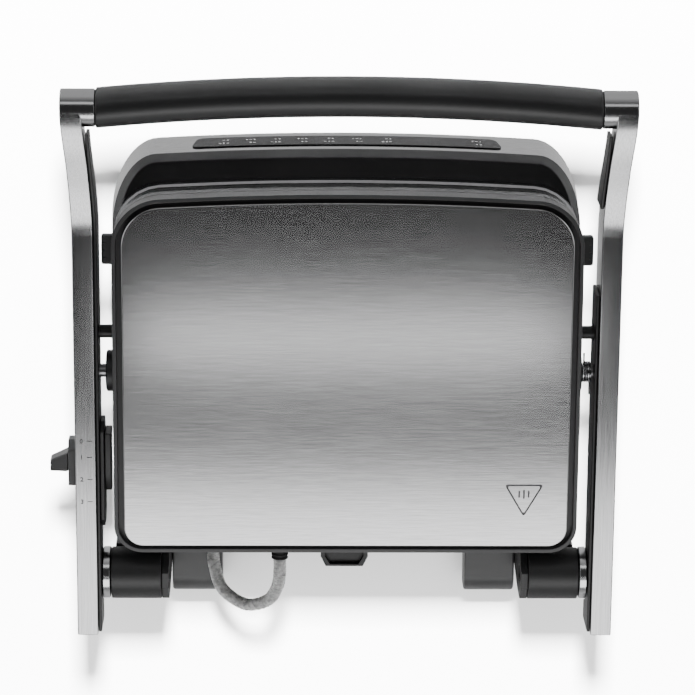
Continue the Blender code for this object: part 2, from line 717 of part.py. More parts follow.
def make_handle(parent):
    steps = 12
    stations = [-grip_half + 2 * grip_half * step / steps for step in range(steps + 1)]
    outer = [circle((x, handle_y(x), HANDLE_Z), GRIP_RADIUS, "X") for x in stations]
    inner = [circle((x, handle_y(x), HANDLE_Z), GRIP_BORE, "X") for x in reversed(stations)]
    loft("handle_grip", outer + inner, "dark_satin", parent, closed=True)
    rod_half = eye_outer - 6 * mm
    rod = [-rod_half + 2 * rod_half * step / steps for step in range(steps + 1)]
    loft("handle_rod", [circle((x, handle_y(x), HANDLE_Z), HANDLE_ROD_RADIUS, "X", 12) for x in rod],
         "bare_steel", parent)


def slot_tool(name, low_x, high_x, parent):
    """Cutter of the slot that the slider's stem runs in."""
    clear = STEM_LENGTH / 2 + RUN
    low = (low_x, slider_y - SLIDER_BACK - clear, ARM_MIDDLE_Z - STEM_HEIGHT / 2 - RUN)
    high = (high_x, slider_y + SLIDER_ON + clear, ARM_MIDDLE_Z + STEM_HEIGHT / 2 + RUN)
    return box(name, low, high, None, parent)


def make_hinge_pieces(side_name, side, parent):
    collar = turned("hinge_collar" + side_name,
                    [(collar_inner * side, COLLAR_RADIUS - EDGE / 2),
                     ((collar_inner + EDGE / 2) * side, COLLAR_RADIUS),
                     ((collar_outer - EDGE / 2) * side, COLLAR_RADIUS),
                     (collar_outer * side, COLLAR_RADIUS - EDGE / 2),
                     (collar_outer * side, SHAFT_RADIUS + GAP), (collar_inner * side, SHAFT_RADIUS + GAP)],
                    (0, hinge_y, HINGE_Z), "X", "chrome", parent, closed=True)
    slit_depth = (COLLAR_RADIUS - SHAFT_RADIUS) / 2
    slit_z = HINGE_Z + COLLAR_RADIUS / 2
    slit = box("collar_slit" + side_name,
               ((collar_inner - EDGE) * side, hinge_y + COLLAR_RADIUS - slit_depth, slit_z - COLLAR_SLIT / 2),
               ((collar_outer + EDGE) * side, hinge_y + COLLAR_RADIUS + EDGE, slit_z + COLLAR_SLIT / 2),
               None, parent)
    shape_by(collar, slit)
    shaft_ends = sorted(((ear_inner + EDGE) * side, (arm_outer - 8 * mm) * side))
    turned("hinge_shaft" + side_name, [(end, SHAFT_RADIUS) for end in shaft_ends],
           (0, hinge_y, HINGE_Z), "X", "bare_steel", parent)


def boss_face(side):
    """Outer face of a pivot boss: the spring side leaves room for the coil."""
    return lid_half + (1.9 * mm if side < 0 else 5.2 * mm)


def make_pivot_pieces(side_name, side, parent):
    blind = 1 * mm
    ends = sorted(((lid_half + GAP + blind) * side, (arm_outer - 4 * mm) * side))
    turned("pivot_pin" + side_name, [(end, PIVOT_PIN_RADIUS) for end in ends],
           (0, pivot_y, PIVOT_Z), "X", "bare_steel", parent)


def make_spring(parent):
    """Torsion spring round the pivot pin on the -X side, with a leg towards each end."""
    radius = PIVOT_PIN_RADIUS + SPRING_WIRE + 0.8 * mm
    room = liner_inner - GAP - boss_face(-1) - 3 * GAP - SPRING_WIRE
    start_x = -(boss_face(-1) + 2 * GAP + SPRING_WIRE / 2)
    steps = round(SPRING_TURNS * 12)
    coil = []
    for step in range(steps + 1):
        angle = 2 * math.pi * SPRING_TURNS * step / steps
        coil.append((start_x - room * step / steps, pivot_y + radius * math.sin(angle),
                     PIVOT_Z + radius * math.cos(angle)))
    front_leg = (coil[0][0], coil[0][1] - 15 * mm, coil[0][2] - EDGE)
    rear_leg = (coil[-1][0], coil[-1][1] + 18 * mm, coil[-1][2] + EDGE)
    wire("torsion_spring", [front_leg, *coil, rear_leg], SPRING_WIRE / 2, 1, "bare_steel", parent)


def make_latch_housing(parent):
    outer = liner_inner - GAP
    inner = outer - LATCH_HOUSING_THICKNESS
    half = LATCH_HOUSING_HEIGHT / 2
    low_y = slider_y - SLIDER_BACK - STEM_LENGTH / 2 - LATCH_HOUSING_MARGIN[0]
    high_y = slider_y + SLIDER_ON + STEM_LENGTH / 2 + LATCH_HOUSING_MARGIN[1]
    taper = 6 * mm
    points = [(low_y + taper, ARM_MIDDLE_Z - half), (high_y - taper, ARM_MIDDLE_Z - half),
              (high_y, ARM_MIDDLE_Z - half + taper), (high_y, ARM_MIDDLE_Z + half - taper),
              (high_y - taper, ARM_MIDDLE_Z + half), (low_y + taper, ARM_MIDDLE_Z + half),
              (low_y, ARM_MIDDLE_Z + half - taper), (low_y, ARM_MIDDLE_Z - half + taper)]
    housing = prism("latch_housing", points, "X", inner, outer, "black_plastic", parent)
    shape_by(housing, slot_tool("latch_slot", inner - EDGE, outer + EDGE, parent))


def make_arms(parent):
    for side_name, side in sides.items():
        arm = make_arm(side_name, side, parent)
        liner = make_liner(side_name, side, parent)
        make_hinge_pieces(side_name, side, parent)
        make_pivot_pieces(side_name, side, parent)
        if side > 0:
            shape_by(arm, slot_tool("arm_slot", arm_inner - EDGE, arm_outer + EDGE, parent))
            shape_by(liner, slot_tool("liner_slot", liner_inner - EDGE, arm_inner, parent))
    make_handle(parent)
    make_latch_housing(parent)
    make_spring(parent)


# ---- lid -----------------------------------------------------------------------------------
def make_shell(parent):
    shell = loft("lid_shell", [
        level(lid_plan, LIP_WALL, cavity_top_z),
        level(lid_plan, LIP_WALL, shell_z),
        level(lid_plan, 0, shell_z),
        level(lid_plan, 0, shell_top_z - EDGE / 2),
        level(lid_plan, EDGE / 2, shell_top_z),
        level(lid_plan, LIP_WALL, shell_top_z),
        level(lid_plan, LIP_WALL, groove_z)], "grey_plastic", parent)
    for side in sides.values():
        button_low = (side * (lid_half - 3 * LIP_WALL), button_y - BUTTON_LENGTH / 2 - RUN,
                      button_z - BUTTON_HEIGHT / 2 - RUN)
        button_high = (side * (lid_half + LIP_WALL), button_y + BUTTON_LENGTH / 2 + RUN,
                       button_z + BUTTON_HEIGHT / 2 + RUN)
        shape_by(shell, box("button_hole", button_low, button_high, None, parent))
    hole = turned("conduit_hole", [(-2 * LIP_WALL, CONDUIT_RADIUS + RUN), (LIP_WALL, CONDUIT_RADIUS + RUN)],
                  (CONDUIT_LID_X, lid_rear_y, CONDUIT_LID_Z), "Y", None, parent)
    shape_by(shell, hole)


def make_cover(parent):
    inner = COVER_SHEET
    loft("lid_cover", [
        level(cover_plan, inner, cover_top_z - COVER_SHEET),
        level(cover_plan, inner, groove_z + GAP),
        level(cover_plan, 0, groove_z + GAP),
        level(cover_plan, 0, cover_top_z - EDGE / 2),
        level(cover_plan, EDGE / 2, cover_top_z)], "brushed_steel", parent)


def make_upper_plate(parent):
    plate = loft("upper_plate", [
        level(lid_plan, EDGE, upper_plate_z),
        level(lid_plan, EDGE / 2, upper_plate_z + EDGE),
        level(lid_plan, EDGE / 2, upper_top_z)], "cast_plate", parent)
    cutter = rib_cutter("upper_grooves", upper_plate_z - EDGE, upper_plate_z + RIB_DEPTH)
    cutter.parent = parent
    cutter.location = -parent.location
    shape_by(plate, cutter)


def make_lid_fittings(parent):
    wire("lid_heater", heater_path(shell_z + HEATER_RADIUS + GAP), HEATER_RADIUS, 2, "heater_tube", parent)
    for side_name, side in sides.items():
        face = boss_face(side)
        boss = turned("pivot_boss" + side_name,
                      [((lid_half + GAP) * side, PIVOT_BOSS_RADIUS),
                       ((face - EDGE / 2) * side, PIVOT_BOSS_RADIUS),
                       (face * side, PIVOT_BOSS_RADIUS - EDGE / 2)],
                      (0, pivot_y, PIVOT_Z), "X", "black_plastic", parent)
        bore = turned("boss_bore" + side_name,
                      [((lid_half + 2 * GAP) * side, PIVOT_PIN_RADIUS + RUN / 2),
                       ((face + EDGE) * side, PIVOT_PIN_RADIUS + RUN / 2)],
                      (0, pivot_y, PIVOT_Z), "X", None, parent)
        shape_by(boss, bore)
        turned("stop_peg" + side_name,
               [((lid_half + GAP) * side, PEG_RADIUS), ((arm_inner + 6 * mm) * side, PEG_RADIUS)],
               (0, peg_y, PIVOT_Z), "X", "black_plastic", parent)
    ring = CONDUIT_RADIUS + RELIEF_WALL
    groove = ring - RELIEF_WALL / 2
    profile = []
    ribs = 3
    step = RELIEF_LENGTH / (2 * ribs)
    for index in range(ribs):
        profile += [(GAP + 2 * index * step, ring), (GAP + (2 * index + 1) * step, ring),
                    (GAP + (2 * index + 1) * step, groove), (GAP + (2 * index + 2) * step, groove)]
    bore = CONDUIT_RADIUS + 2 * GAP
    profile += [(profile[-1][0], bore), (GAP, bore)]
    turned("lid_relief", profile, (CONDUIT_LID_X, lid_rear_y, CONDUIT_LID_Z), "Y", "rubber", parent,
           closed=True)


def make_button(side_name, side, parent):
    """A release button that is pressed inwards through the lid's side wall."""
    inner = lid_half - LIP_WALL - BUTTON_DEPTH
    box("release_button" + side_name,
        (inner * side, button_y - BUTTON_LENGTH / 2, button_z - BUTTON_HEIGHT / 2),
        ((lid_half + BUTTON_OUT) * side, button_y + BUTTON_LENGTH / 2, button_z + BUTTON_HEIGHT / 2),
        "black_plastic", parent, EDGE)


# ---- height slider -------------------------------------------------------------------------
def make_slider(parent):
    thickness, length, height = SLIDER_PLATE
    plate_x = arm_outer + GAP
    half = length / 2
    cut = 6 * mm
    low, high = ARM_MIDDLE_Z - height / 2, ARM_MIDDLE_Z + height / 2
    points = [(slider_y - half + cut, low), (slider_y + half, low), (slider_y + half, high),
              (slider_y - half + cut, high), (slider_y - half, high - cut), (slider_y - half, low + cut)]
    plate = prism("slider_plate", points, "X", plate_x, plate_x + thickness, "grey_plastic", parent)
    cam_outer = liner_inner - LATCH_HOUSING_THICKNESS - 2 * GAP
    stem = box("slider_stem", (cam_outer + GAP, slider_y - STEM_LENGTH / 2, ARM_MIDDLE_Z - STEM_HEIGHT / 2),
               (plate_x + EDGE, slider_y + STEM_LENGTH / 2, ARM_MIDDLE_Z + STEM_HEIGHT / 2), None, parent)
    shape_by(plate, stem, "UNION")
    reach, knob_length, knob_height = KNOB_SIZE
    knob_x = plate_x + thickness + GAP
    neck = reach / 2
    flat = KNOB_STEM_HEIGHT / 2
    wide = knob_height / 2
    knob_points = [(knob_x, ARM_MIDDLE_Z - flat), (knob_x + neck, ARM_MIDDLE_Z - flat),
                   (knob_x + neck + EDGE, ARM_MIDDLE_Z - wide), (knob_x + reach, ARM_MIDDLE_Z - wide),
                   (knob_x + reach, ARM_MIDDLE_Z + wide), (knob_x + neck + EDGE, ARM_MIDDLE_Z + wide),
                   (knob_x + neck, ARM_MIDDLE_Z + flat), (knob_x, ARM_MIDDLE_Z + flat)]
    prism("slider_knob", knob_points, "Y", slider_y - knob_length / 2, slider_y + knob_length / 2,
          "grey_plastic", parent)
    cam_half = CAM_LENGTH / 2
    tip = 3 * mm
    cam_points = [(slider_y - cam_half, ARM_MIDDLE_Z - CAM_HEIGHT / 2),
                  (slider_y + cam_half / 3, ARM_MIDDLE_Z - CAM_HEIGHT / 2),
                  (slider_y + cam_half, ARM_MIDDLE_Z - tip), (slider_y + cam_half, ARM_MIDDLE_Z + tip),
                  (slider_y + cam_half / 3, ARM_MIDDLE_Z + CAM_HEIGHT / 2),
                  (slider_y - cam_half, ARM_MIDDLE_Z + CAM_HEIGHT / 2)]
    prism("latch_cam", cam_points, "X", cam_outer - CAM_THICKNESS, cam_outer, "black_plastic", parent)


# ---- braided conduit between base and lid ---------------------------------------------------
def make_conduit(lid):
    """One loop in three stretches: held by the base, bent by the hinge, held by the lid."""
    reach_y = lid_rear_y + CONDUIT_REACH
    route = [(CONDUIT_BASE_X, base_rear_y - housing_inset - 4 * mm, conduit_base_z),
             (CONDUIT_BASE_X, base_rear_y + 6 * mm, conduit_base_z),
             (CONDUIT_BASE_X, base_rear_y + 13 * mm, conduit_base_z),
             (CONDUIT_BASE_X - 1 * mm, reach_y - 23 * mm, conduit_base_z + 2 * mm),
             (CONDUIT_BASE_X - 7 * mm, reach_y - 8 * mm, conduit_base_z + 7 * mm),
             (CONDUIT_BASE_X - 23 * mm, reach_y, conduit_base_z + 15 * mm),
             (CONDUIT_LID_X + 8 * mm, reach_y - 7 * mm, conduit_base_z + 25 * mm),
             (CONDUIT_LID_X + 1.5 * mm, reach_y - 21 * mm, CONDUIT_LID_Z - 12 * mm),
             (CONDUIT_LID_X, lid_rear_y + 21 * mm, CONDUIT_LID_Z - 3 * mm),
             (CONDUIT_LID_X, lid_rear_y + 12 * mm, CONDUIT_LID_Z),
             (CONDUIT_LID_X, lid_rear_y + 5 * mm, CONDUIT_LID_Z),
             (CONDUIT_LID_X, lid_rear_y - 3 * mm, CONDUIT_LID_Z)]
    path = smooth_path(route, 1.2 * CONDUIT_RADIUS)
    split_y = reach_y - 3 * mm
    top = path.index(max(path, key=lambda point: point.y))
    first = next(index for index in range(top, len(path)) if path[index].y < split_y)
    second = next(index for index in range(first, len(path)) if path[index].y < lid_rear_y + 26 * mm)

    def square_ends(index):
        """Two short straight ends on either side of a split, so that the faces stay parallel."""
        along = (path[index + 1] - path[index - 1]).normalized()
        return ([path[index] - along * (GAP / 2 + EDGE / 2), path[index] - along * GAP / 2],
                [path[index] + along * GAP / 2, path[index] + along * (GAP / 2 + EDGE / 2)])
    end_of_base, start_of_bend = square_ends(first)
    end_of_bend, start_of_lid = square_ends(second)
    stretches = (("conduit_base", path[:first] + end_of_base, None),
                 ("conduit_bend", start_of_bend + path[first + 1:second] + end_of_bend, None),
                 ("conduit_lid", start_of_lid + path[second + 1:], lid))
    for name, points, parent in stretches:
        wire(name, points, CONDUIT_RADIUS, 3, "braid", parent)
    ring = CONDUIT_RADIUS + RELIEF_WALL
    groove = CONDUIT_RADIUS + RELIEF_WALL / 3
    bore = CONDUIT_RADIUS + GAP
    turned("base_relief", [(GAP, ring), (3 * mm, ring), (6 * mm, groove),
                           (6 * mm, bore), (GAP, bore)],
           (CONDUIT_BASE_X, base_rear_y, conduit_base_z), "Y", "rubber", closed=True)


# ---- assembly ------------------------------------------------------------------------------
for item in list(bpy.data.objects):
    bpy.data.objects.remove(item)

finishes = {
    "brushed_steel": finish("brushed_steel", (0.55, 0.55, 0.56), 0.32, 1.0),
    "brushed_aluminium": finish("brushed_aluminium", (0.60, 0.60, 0.61), 0.38, 1.0),
    "chrome": finish("chrome", (0.75, 0.75, 0.76), 0.12, 1.0),
    "bare_steel": finish("bare_steel", (0.5, 0.5, 0.5), 0.4, 1.0),
    "heater_tube": finish("heater_tube", (0.25, 0.24, 0.23), 0.5, 1.0),
    "dark_satin": finish("dark_satin", (0.045, 0.045, 0.048), 0.42),
    "black_plastic": finish("black_plastic", (0.02, 0.02, 0.021), 0.45),
    "gloss_black": finish("gloss_black", (0.01, 0.01, 0.011), 0.08),
    "grey_plastic": finish("grey_plastic", (0.09, 0.09, 0.092), 0.5),
    "cast_plate": finish("cast_plate", (0.03, 0.03, 0.03), 0.5, 0.4),
    "rubber": finish("rubber", (0.025, 0.025, 0.025), 0.8),
    "braid": finish("braid", (0.3, 0.3, 0.3), 0.6, 0.5),
    "circuit_board": finish("circuit_board", (0.02, 0.12, 0.05), 0.5),
}
sides = {"_left": -1, "_right": 1}
button_y = lid_front_y + BUTTON_BACK
button_z = shell_z + (cavity_top_z - shell_z) / 2

arms = empty_at("arms_on_hinge", (0, hinge_y, HINGE_Z))
make_base()
make_arms(arms)
lid = empty_at("lid_on_pivot", (0, pivot_y, PIVOT_Z))
make_shell(lid)
make_cover(lid)
make_upper_plate(lid)
make_lid_fittings(lid)
for side_name, side in sides.items():
    button = empty_at("button_guide" + side_name, (lid_half * side, button_y, button_z))
    make_button(side_name, side, button)
slider = empty_at("slider_guide", (arm_outer, slider_y, ARM_MIDDLE_Z))
make_slider(slider)
make_conduit(lid)

# The origin is the middle of the whole footprint, which the slider's knob widens on one side.
knob_end = arm_outer + GAP + SLIDER_PLATE[0] + GAP + KNOB_SIZE[0]
handle_front = handle_y(0) - GRIP_RADIUS
footprint_middle = Vector(((knob_end - eye_outer) / 2, (tail_y + handle_front) / 2, 0))
for item in bpy.data.objects:
    if item.parent is None:
        item.location -= footprint_middle
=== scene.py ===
import math

import bpy
from mathutils import Matrix, Vector


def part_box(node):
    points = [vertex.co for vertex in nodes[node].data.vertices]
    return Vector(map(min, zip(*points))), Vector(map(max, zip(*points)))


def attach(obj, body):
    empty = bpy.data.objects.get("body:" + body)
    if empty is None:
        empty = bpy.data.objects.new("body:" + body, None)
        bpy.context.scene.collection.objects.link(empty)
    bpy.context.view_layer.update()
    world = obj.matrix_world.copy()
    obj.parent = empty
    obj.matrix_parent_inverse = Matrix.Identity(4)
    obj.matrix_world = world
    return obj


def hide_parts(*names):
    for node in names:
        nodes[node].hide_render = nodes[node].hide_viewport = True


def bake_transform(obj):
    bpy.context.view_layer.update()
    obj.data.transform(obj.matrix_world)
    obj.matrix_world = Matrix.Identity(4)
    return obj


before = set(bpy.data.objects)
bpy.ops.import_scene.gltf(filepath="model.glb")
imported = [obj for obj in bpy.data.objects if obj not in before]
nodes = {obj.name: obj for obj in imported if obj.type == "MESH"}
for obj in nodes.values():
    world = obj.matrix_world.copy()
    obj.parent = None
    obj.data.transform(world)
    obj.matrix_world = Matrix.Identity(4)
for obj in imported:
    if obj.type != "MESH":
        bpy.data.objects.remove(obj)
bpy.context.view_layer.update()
mm = 0.001
sides = {"left": -1, "right": 1}  # left is -X, seen from the handle

lidLow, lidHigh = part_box("lid_shell")
coverLow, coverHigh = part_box("lid_cover")
deckLow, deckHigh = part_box("base_deck")
midX = (lidLow.x + lidHigh.x) / 2
# outlines seen from above: bow of the front edges in metres, steps round a corner, cuts along the front
plan = {"bow": 2.1, "cornerSteps": 14, "frontCuts": 15}
lidCorner = {"front": 30.9 * mm, "rear": 18.9 * mm}
nearby = 0.1 * mm  # how far off a level or an edge a face still counts as being on it
print("frame loaded:", len(nodes), "nodes")


def colour(code):
    # sRGB hex to the linear values that a shader takes
    parts = [int(code[at:at + 2], 16) / 255 for at in (1, 3, 5)]
    return [part / 12.92 if part <= 0.04045 else ((part + 0.055) / 1.055) ** 2.4 for part in parts] + [1]


def addNode(tree, kind, settings=None, inputs=None, links=None, stops=()):
    node = tree.nodes.new("ShaderNode" + kind)
    for key, value in (settings or {}).items():
        setattr(node, key, value)
    for key, value in (inputs or {}).items():
        node.inputs[key].default_value = value
    for key, source in (links or {}).items():
        tree.links.new(source, node.inputs[key])
    while 2 < len(stops) > len(node.color_ramp.elements):
        node.color_ramp.elements.new(0.5)
    for index, (share, code) in enumerate(stops):
        node.color_ramp.elements[index].position = share
        node.color_ramp.elements[index].color = colour(code)
    return node


def startMaterial(name, sockets):
    material = bpy.data.materials.new(name)
    material.use_nodes = True
    shader = material.node_tree.nodes["Principled BSDF"]
    for key, value in sockets.items():
        shader.inputs[key].default_value = value
    return material, material.node_tree, shader


def dress(tree, shader, tone, grain, look, depth=0.05 * mm):
    # the colour follows one pattern, the sheen and the relief another
    stops = look.get("stops") or [(0.3, look["dark"]), (0.7, look["light"])]
    ramp = addNode(tree, "ValToRGB", links={0: tone}, stops=stops)
    tree.links.new(ramp.outputs[0], shader.inputs["Base Color"])
    if "rough" in look:
        smoothest, roughest = look["rough"]
        rough = addNode(tree, "MapRange", inputs={1: 0.3, 2: 0.7, 3: smoothest, 4: roughest},
                        links={0: grain})
        tree.links.new(rough.outputs[0], shader.inputs["Roughness"])
    if "relief" in look:
        bump = addNode(tree, "Bump", inputs={"Strength": look["relief"], "Distance": depth},
                       links={"Height": grain})
        tree.links.new(bump.outputs[0], shader.inputs["Normal"])


def brushedMetal(name, look):
    # a sheet rubbed one way with an abrasive belt: long streaks, each a little lighter or darker
    material, tree, shader = startMaterial(name, {"Metallic": 1.0})
    place = addNode(tree, "TexCoord").outputs["Object"]
    streaks = []
    for length, width in look["streaks"]:
        size = [width, width, width]
        size[look["along"]] = length
        spread = addNode(tree, "Mapping", inputs={"Scale": [1 / (part * mm) for part in size]},
                         links={"Vector": place})
        streaks.append(addNode(tree, "TexNoise", inputs={"Scale": 1, "Detail": 2, "Roughness": 0.6},
                               links={"Vector": spread.outputs[0]}).outputs[0])
    both = addNode(tree, "Math", {"operation": "ADD"}, links={0: streaks[0], 1: streaks[1]}).outputs[0]
    grain = addNode(tree, "Math", {"operation": "MULTIPLY"}, {1: 0.5}, {0: both}).outputs[0]
    dress(tree, shader, grain, grain, look, 0.03 * mm)
    return material


def mouldedPlastic(name, look):
    # ABS from a spark-eroded mould: a fine even grain that breaks up the sheen, with faint flow clouds
    material, tree, shader = startMaterial(name, {"IOR": look.get("ior", 1.53)})
    place = addNode(tree, "TexCoord").outputs["Object"]
    grain = addNode(tree, "TexNoise", inputs={"Scale": 1 / (look["grain"] * mm), "Detail": 3},
                    links={"Vector": place}).outputs[0]
    cloud = addNode(tree, "TexNoise", inputs={"Scale": 1 / (look["cloud"] * mm), "Detail": 2},
                    links={"Vector": place}).outputs[0]
    dress(tree, shader, cloud, grain, look)
    return material


def nonStickCoating():
    # fired PTFE on die-cast aluminium: soft black sheen with fine mineral flecks
    look = {"fleck": 0.9, "grain": 0.5, "stops": [(0.08, "#3A3A3B"), (0.2, "#141415")],
            "rough": (0.34, 0.5), "relief": 0.25}
    material, tree, shader = startMaterial("ptfeCoatedCastAluminium", {
        "IOR": 1.38, "Coat Weight": 0.15, "Coat Roughness": 0.35})
    place = addNode(tree, "TexCoord").outputs["Object"]
    flecks = addNode(tree, "TexVoronoi", inputs={"Scale": 1 / (look["fleck"] * mm)},
                     links={"Vector": place}).outputs["Distance"]
    grain = addNode(tree, "TexNoise", inputs={"Scale": 1 / (look["grain"] * mm), "Detail": 3},
                    links={"Vector": place}).outputs[0]
    dress(tree, shader, flecks, grain, look)
    return material


def circuitLacquer():
    # epoxy board under solder lacquer: green with darker copper runs beneath
    look = {"track": 6, "gap": 0.12, "first": "#14562C", "second": "#1B6A36", "between": "#0D3C1F"}
    material, tree, shader = startMaterial("lacqueredCircuitBoard", {"Roughness": 0.35, "IOR": 1.5})
    place = addNode(tree, "TexCoord").outputs["Object"]
    runs = addNode(tree, "TexBrick", {"offset": 0.5}, {
        "Scale": 1 / (look["track"] * mm), "Mortar Size": look["gap"], "Color1": colour(look["first"]),
        "Color2": colour(look["second"]), "Mortar": colour(look["between"])}, {"Vector": place})
    tree.links.new(runs.outputs[0], shader.inputs["Base Color"])
    return material


def cloudedFinish(name, sockets, look):
    # a finish with one pattern only, for its tone and, where it is glossy, for its sheen
    material, tree, shader = startMaterial(name, sockets)
    place = addNode(tree, "TexCoord").outputs["Object"]
    cloud = addNode(tree, "TexNoise", inputs={"Scale": 1 / (look["cloud"] * mm), "Detail": look["detail"]},
                    links={"Vector": place}).outputs[0]
    dress(tree, shader, cloud, cloud, look)
    return material


def screenInk(name, code):
    # thin screen-printed ink: matt and very slightly uneven
    lighter = "#" + "".join(f"{min(int(code[at:at + 2], 16) + 10, 255):02X}" for at in (1, 3, 5))
    return cloudedFinish(name, {"Roughness": 0.55}, {
        "cloud": 0.8, "detail": 1, "dark": code, "light": lighter})


finishes = {
    # stainless sheet brushed side to side; real lines are 0.1 mm apart, drawn wider so that they show
    "steelSideways": brushedMetal("brushedStainlessSheet", {
        "along": 0, "streaks": ((38, 0.7), (12, 0.4)), "dark": "#ACACAD", "light": "#CFCFD0",
        "rough": (0.16, 0.19), "relief": 0.03}),
    # cast arms linished lengthwise, a little duller than the sheet
    "aluminiumLengthwise": brushedMetal("linishedAluminium", {
        "along": 1, "streaks": ((60, 0.6), (18, 0.35)), "dark": "#A0A0A1", "light": "#BCBCBD",
        "rough": (0.18, 0.21), "relief": 0.04}),
    # collars turned on a lathe and satin chromed
    "satinChrome": brushedMetal("satinChromePlate", {
        "along": 1, "streaks": ((30, 0.6), (9, 0.3)), "dark": "#BEBEC0", "light": "#D4D4D6",
        "rough": (0.15, 0.2), "relief": 0.04}),
    # drawn wire, pins and pressed trays, left bare
    "bareSteel": brushedMetal("coldDrawnSteel", {
        "along": 0, "streaks": ((14, 0.7), (5, 0.35)), "dark": "#7E7E80", "light": "#A2A2A4",
        "rough": (0.26, 0.36), "relief": 0.08}),
    # cast aluminium turned bright along the plates' rims
    "bareRim": brushedMetal("machinedCastAluminium", {
        "along": 0, "streaks": ((30, 0.6), (9, 0.35)), "dark": "#9A9A9C", "light": "#B6B6B8",
        "rough": (0.25, 0.34), "relief": 0.05}),
    # soft-touch satin lacquer on the handle: broad even highlights
    "satinCharcoal": mouldedPlastic("satinCharcoalLacquer", {
        "grain": 0.7, "cloud": 40, "dark": "#1F1F20", "light": "#242425", "rough": (0.34, 0.42),
        "relief": 0.2}),
    "blackAbs": mouldedPlastic("sparkErodedBlackAbs", {
        "grain": 0.8, "cloud": 30, "dark": "#161617", "light": "#1B1B1C", "rough": (0.38, 0.5),
        "relief": 0.35}),
    "greyAbs": mouldedPlastic("satinGreyAbs", {
        "grain": 0.8, "cloud": 30, "dark": "#313132", "light": "#383839", "rough": (0.36, 0.46),
        "relief": 0.25}),
    "deckAbs": mouldedPlastic("satinBlackAbs", {
        "grain": 0.7, "cloud": 50, "dark": "#2C2C2D", "light": "#333334", "rough": (0.28, 0.34),
        "relief": 0.2}),
    "rubber": mouldedPlastic("siliconeRubber", {
        "ior": 1.43, "grain": 0.6, "cloud": 12, "dark": "#171717", "light": "#1F1F1F", "rough": (0.6, 0.75),
        "relief": 0.3}),
    # woven glass-fibre sleeve, varnished grey: each strand catches its own light
    "glassBraid": mouldedPlastic("varnishedGlassBraid", {
        "grain": 0.5, "cloud": 2.5, "dark": "#8A8A8A", "light": "#C8C8C7", "rough": (0.4, 0.6),
        "relief": 0.5}),
    "nonStick": nonStickCoating(),
    # Incoloy tube after some heats: straw and violet oxide bands along its length
    "heatedTube": cloudedFinish("heatTintedSteelTube", {"Metallic": 1.0, "Roughness": 0.38}, {
        "cloud": 22, "detail": 2, "stops": [(0.35, "#5B5148"), (0.5, "#6E5F4A"), (0.65, "#4C4A55")]}),
    "circuitBoard": circuitLacquer(),
    # gloss polycarbonate window over a black print: mirror clear, with hardly any tone of its own
    "glossPanel": cloudedFinish("glossPolycarbonate", {"IOR": 1.15}, {
        "cloud": 30, "detail": 2, "dark": "#0B0B0C", "light": "#121213", "rough": (0.07, 0.12)}),
    "whiteInk": screenInk("whiteScreenInk", "#9C9C9C"),
    "blackInk": screenInk("blackPrintInk", "#161617"),
    # floor of a stamped line: dull grey against the bright sheet
    "grooveFloorGrey": screenInk("dullGreyLineFloor", "#525253"),
}
print("finishes made:", len(finishes))


def onlyThis(piece):
    if bpy.context.object and bpy.context.object.mode != "OBJECT":
        bpy.ops.object.mode_set(mode="OBJECT")
    bpy.ops.object.select_all(action="DESELECT")
    piece.select_set(True)
    bpy.context.view_layer.objects.active = piece


def named(name):
    # the primitive just added gets its name, and its place goes into its mesh
    piece = bpy.context.object
    piece.name = name
    piece.data.name = name
    bpy.ops.object.transform_apply(location=True, rotation=True, scale=True)
    return piece


def pick(piece, kind, test):
    # opens the piece for editing with only the faces, edges or corners chosen that pass the test
    onlyThis(piece)
    bpy.ops.object.mode_set(mode="EDIT")
    bpy.ops.mesh.select_mode(type=kind)
    bpy.ops.mesh.select_all(action="DESELECT")
    bpy.ops.object.mode_set(mode="OBJECT")
    data = piece.data
    if kind == "FACE":
        for face in data.polygons:
            face.select = test(face.center, face.normal)
    elif kind == "EDGE":
        for edge in data.edges:
            a, b = (data.vertices[index].co for index in edge.vertices)
            edge.select = test((a + b) / 2, (b - a).normalized())
    else:
        for corner in data.vertices:
            corner.select = test(corner.co, corner.normal)
    bpy.ops.object.mode_set(mode="EDIT")


def closeUp(piece):
    # leaves edit mode with the faces turned outwards
    bpy.ops.mesh.select_all(action="SELECT")
    bpy.ops.mesh.normals_make_consistent(inside=False)
    bpy.ops.object.mode_set(mode="OBJECT")
    return piece


def shaped(piece, kind, **settings):
    onlyThis(piece)
    step = piece.modifiers.new(kind.lower(), kind)
    for key, value in settings.items():
        setattr(step, key, value)
    bpy.ops.object.modifier_apply(modifier=step.name)
    return piece


def rounded(piece, width, segments=3, limit=35):
    return shaped(piece, "BEVEL", width=width, segments=segments, limit_method="ANGLE",
                  angle_limit=math.radians(limit))


def cutBy(piece, tool, how="DIFFERENCE"):
    shaped(piece, "BOOLEAN", operation=how, object=tool, solver="EXACT")
    bpy.data.objects.remove(tool)
    return piece


def soften(piece, test, width, segments):
    # rounds only the edges that pass the test
    pick(piece, "EDGE", test)
    bpy.ops.mesh.bevel(offset=width, segments=segments)
    bpy.ops.object.mode_set(mode="OBJECT")
    return piece


def joined(pieces, name):
    onlyThis(pieces[0])
    for piece in pieces[1:]:
        piece.select_set(True)
    bpy.ops.object.join()
    bpy.context.object.name = name
    return bpy.context.object


def addBlock(name, low, high):
    bpy.ops.object.select_all(action="DESELECT")
    low, high = Vector(low), Vector(high)
    bpy.ops.mesh.primitive_cube_add(size=1, location=(low + high) / 2, scale=high - low)
    return named(name)


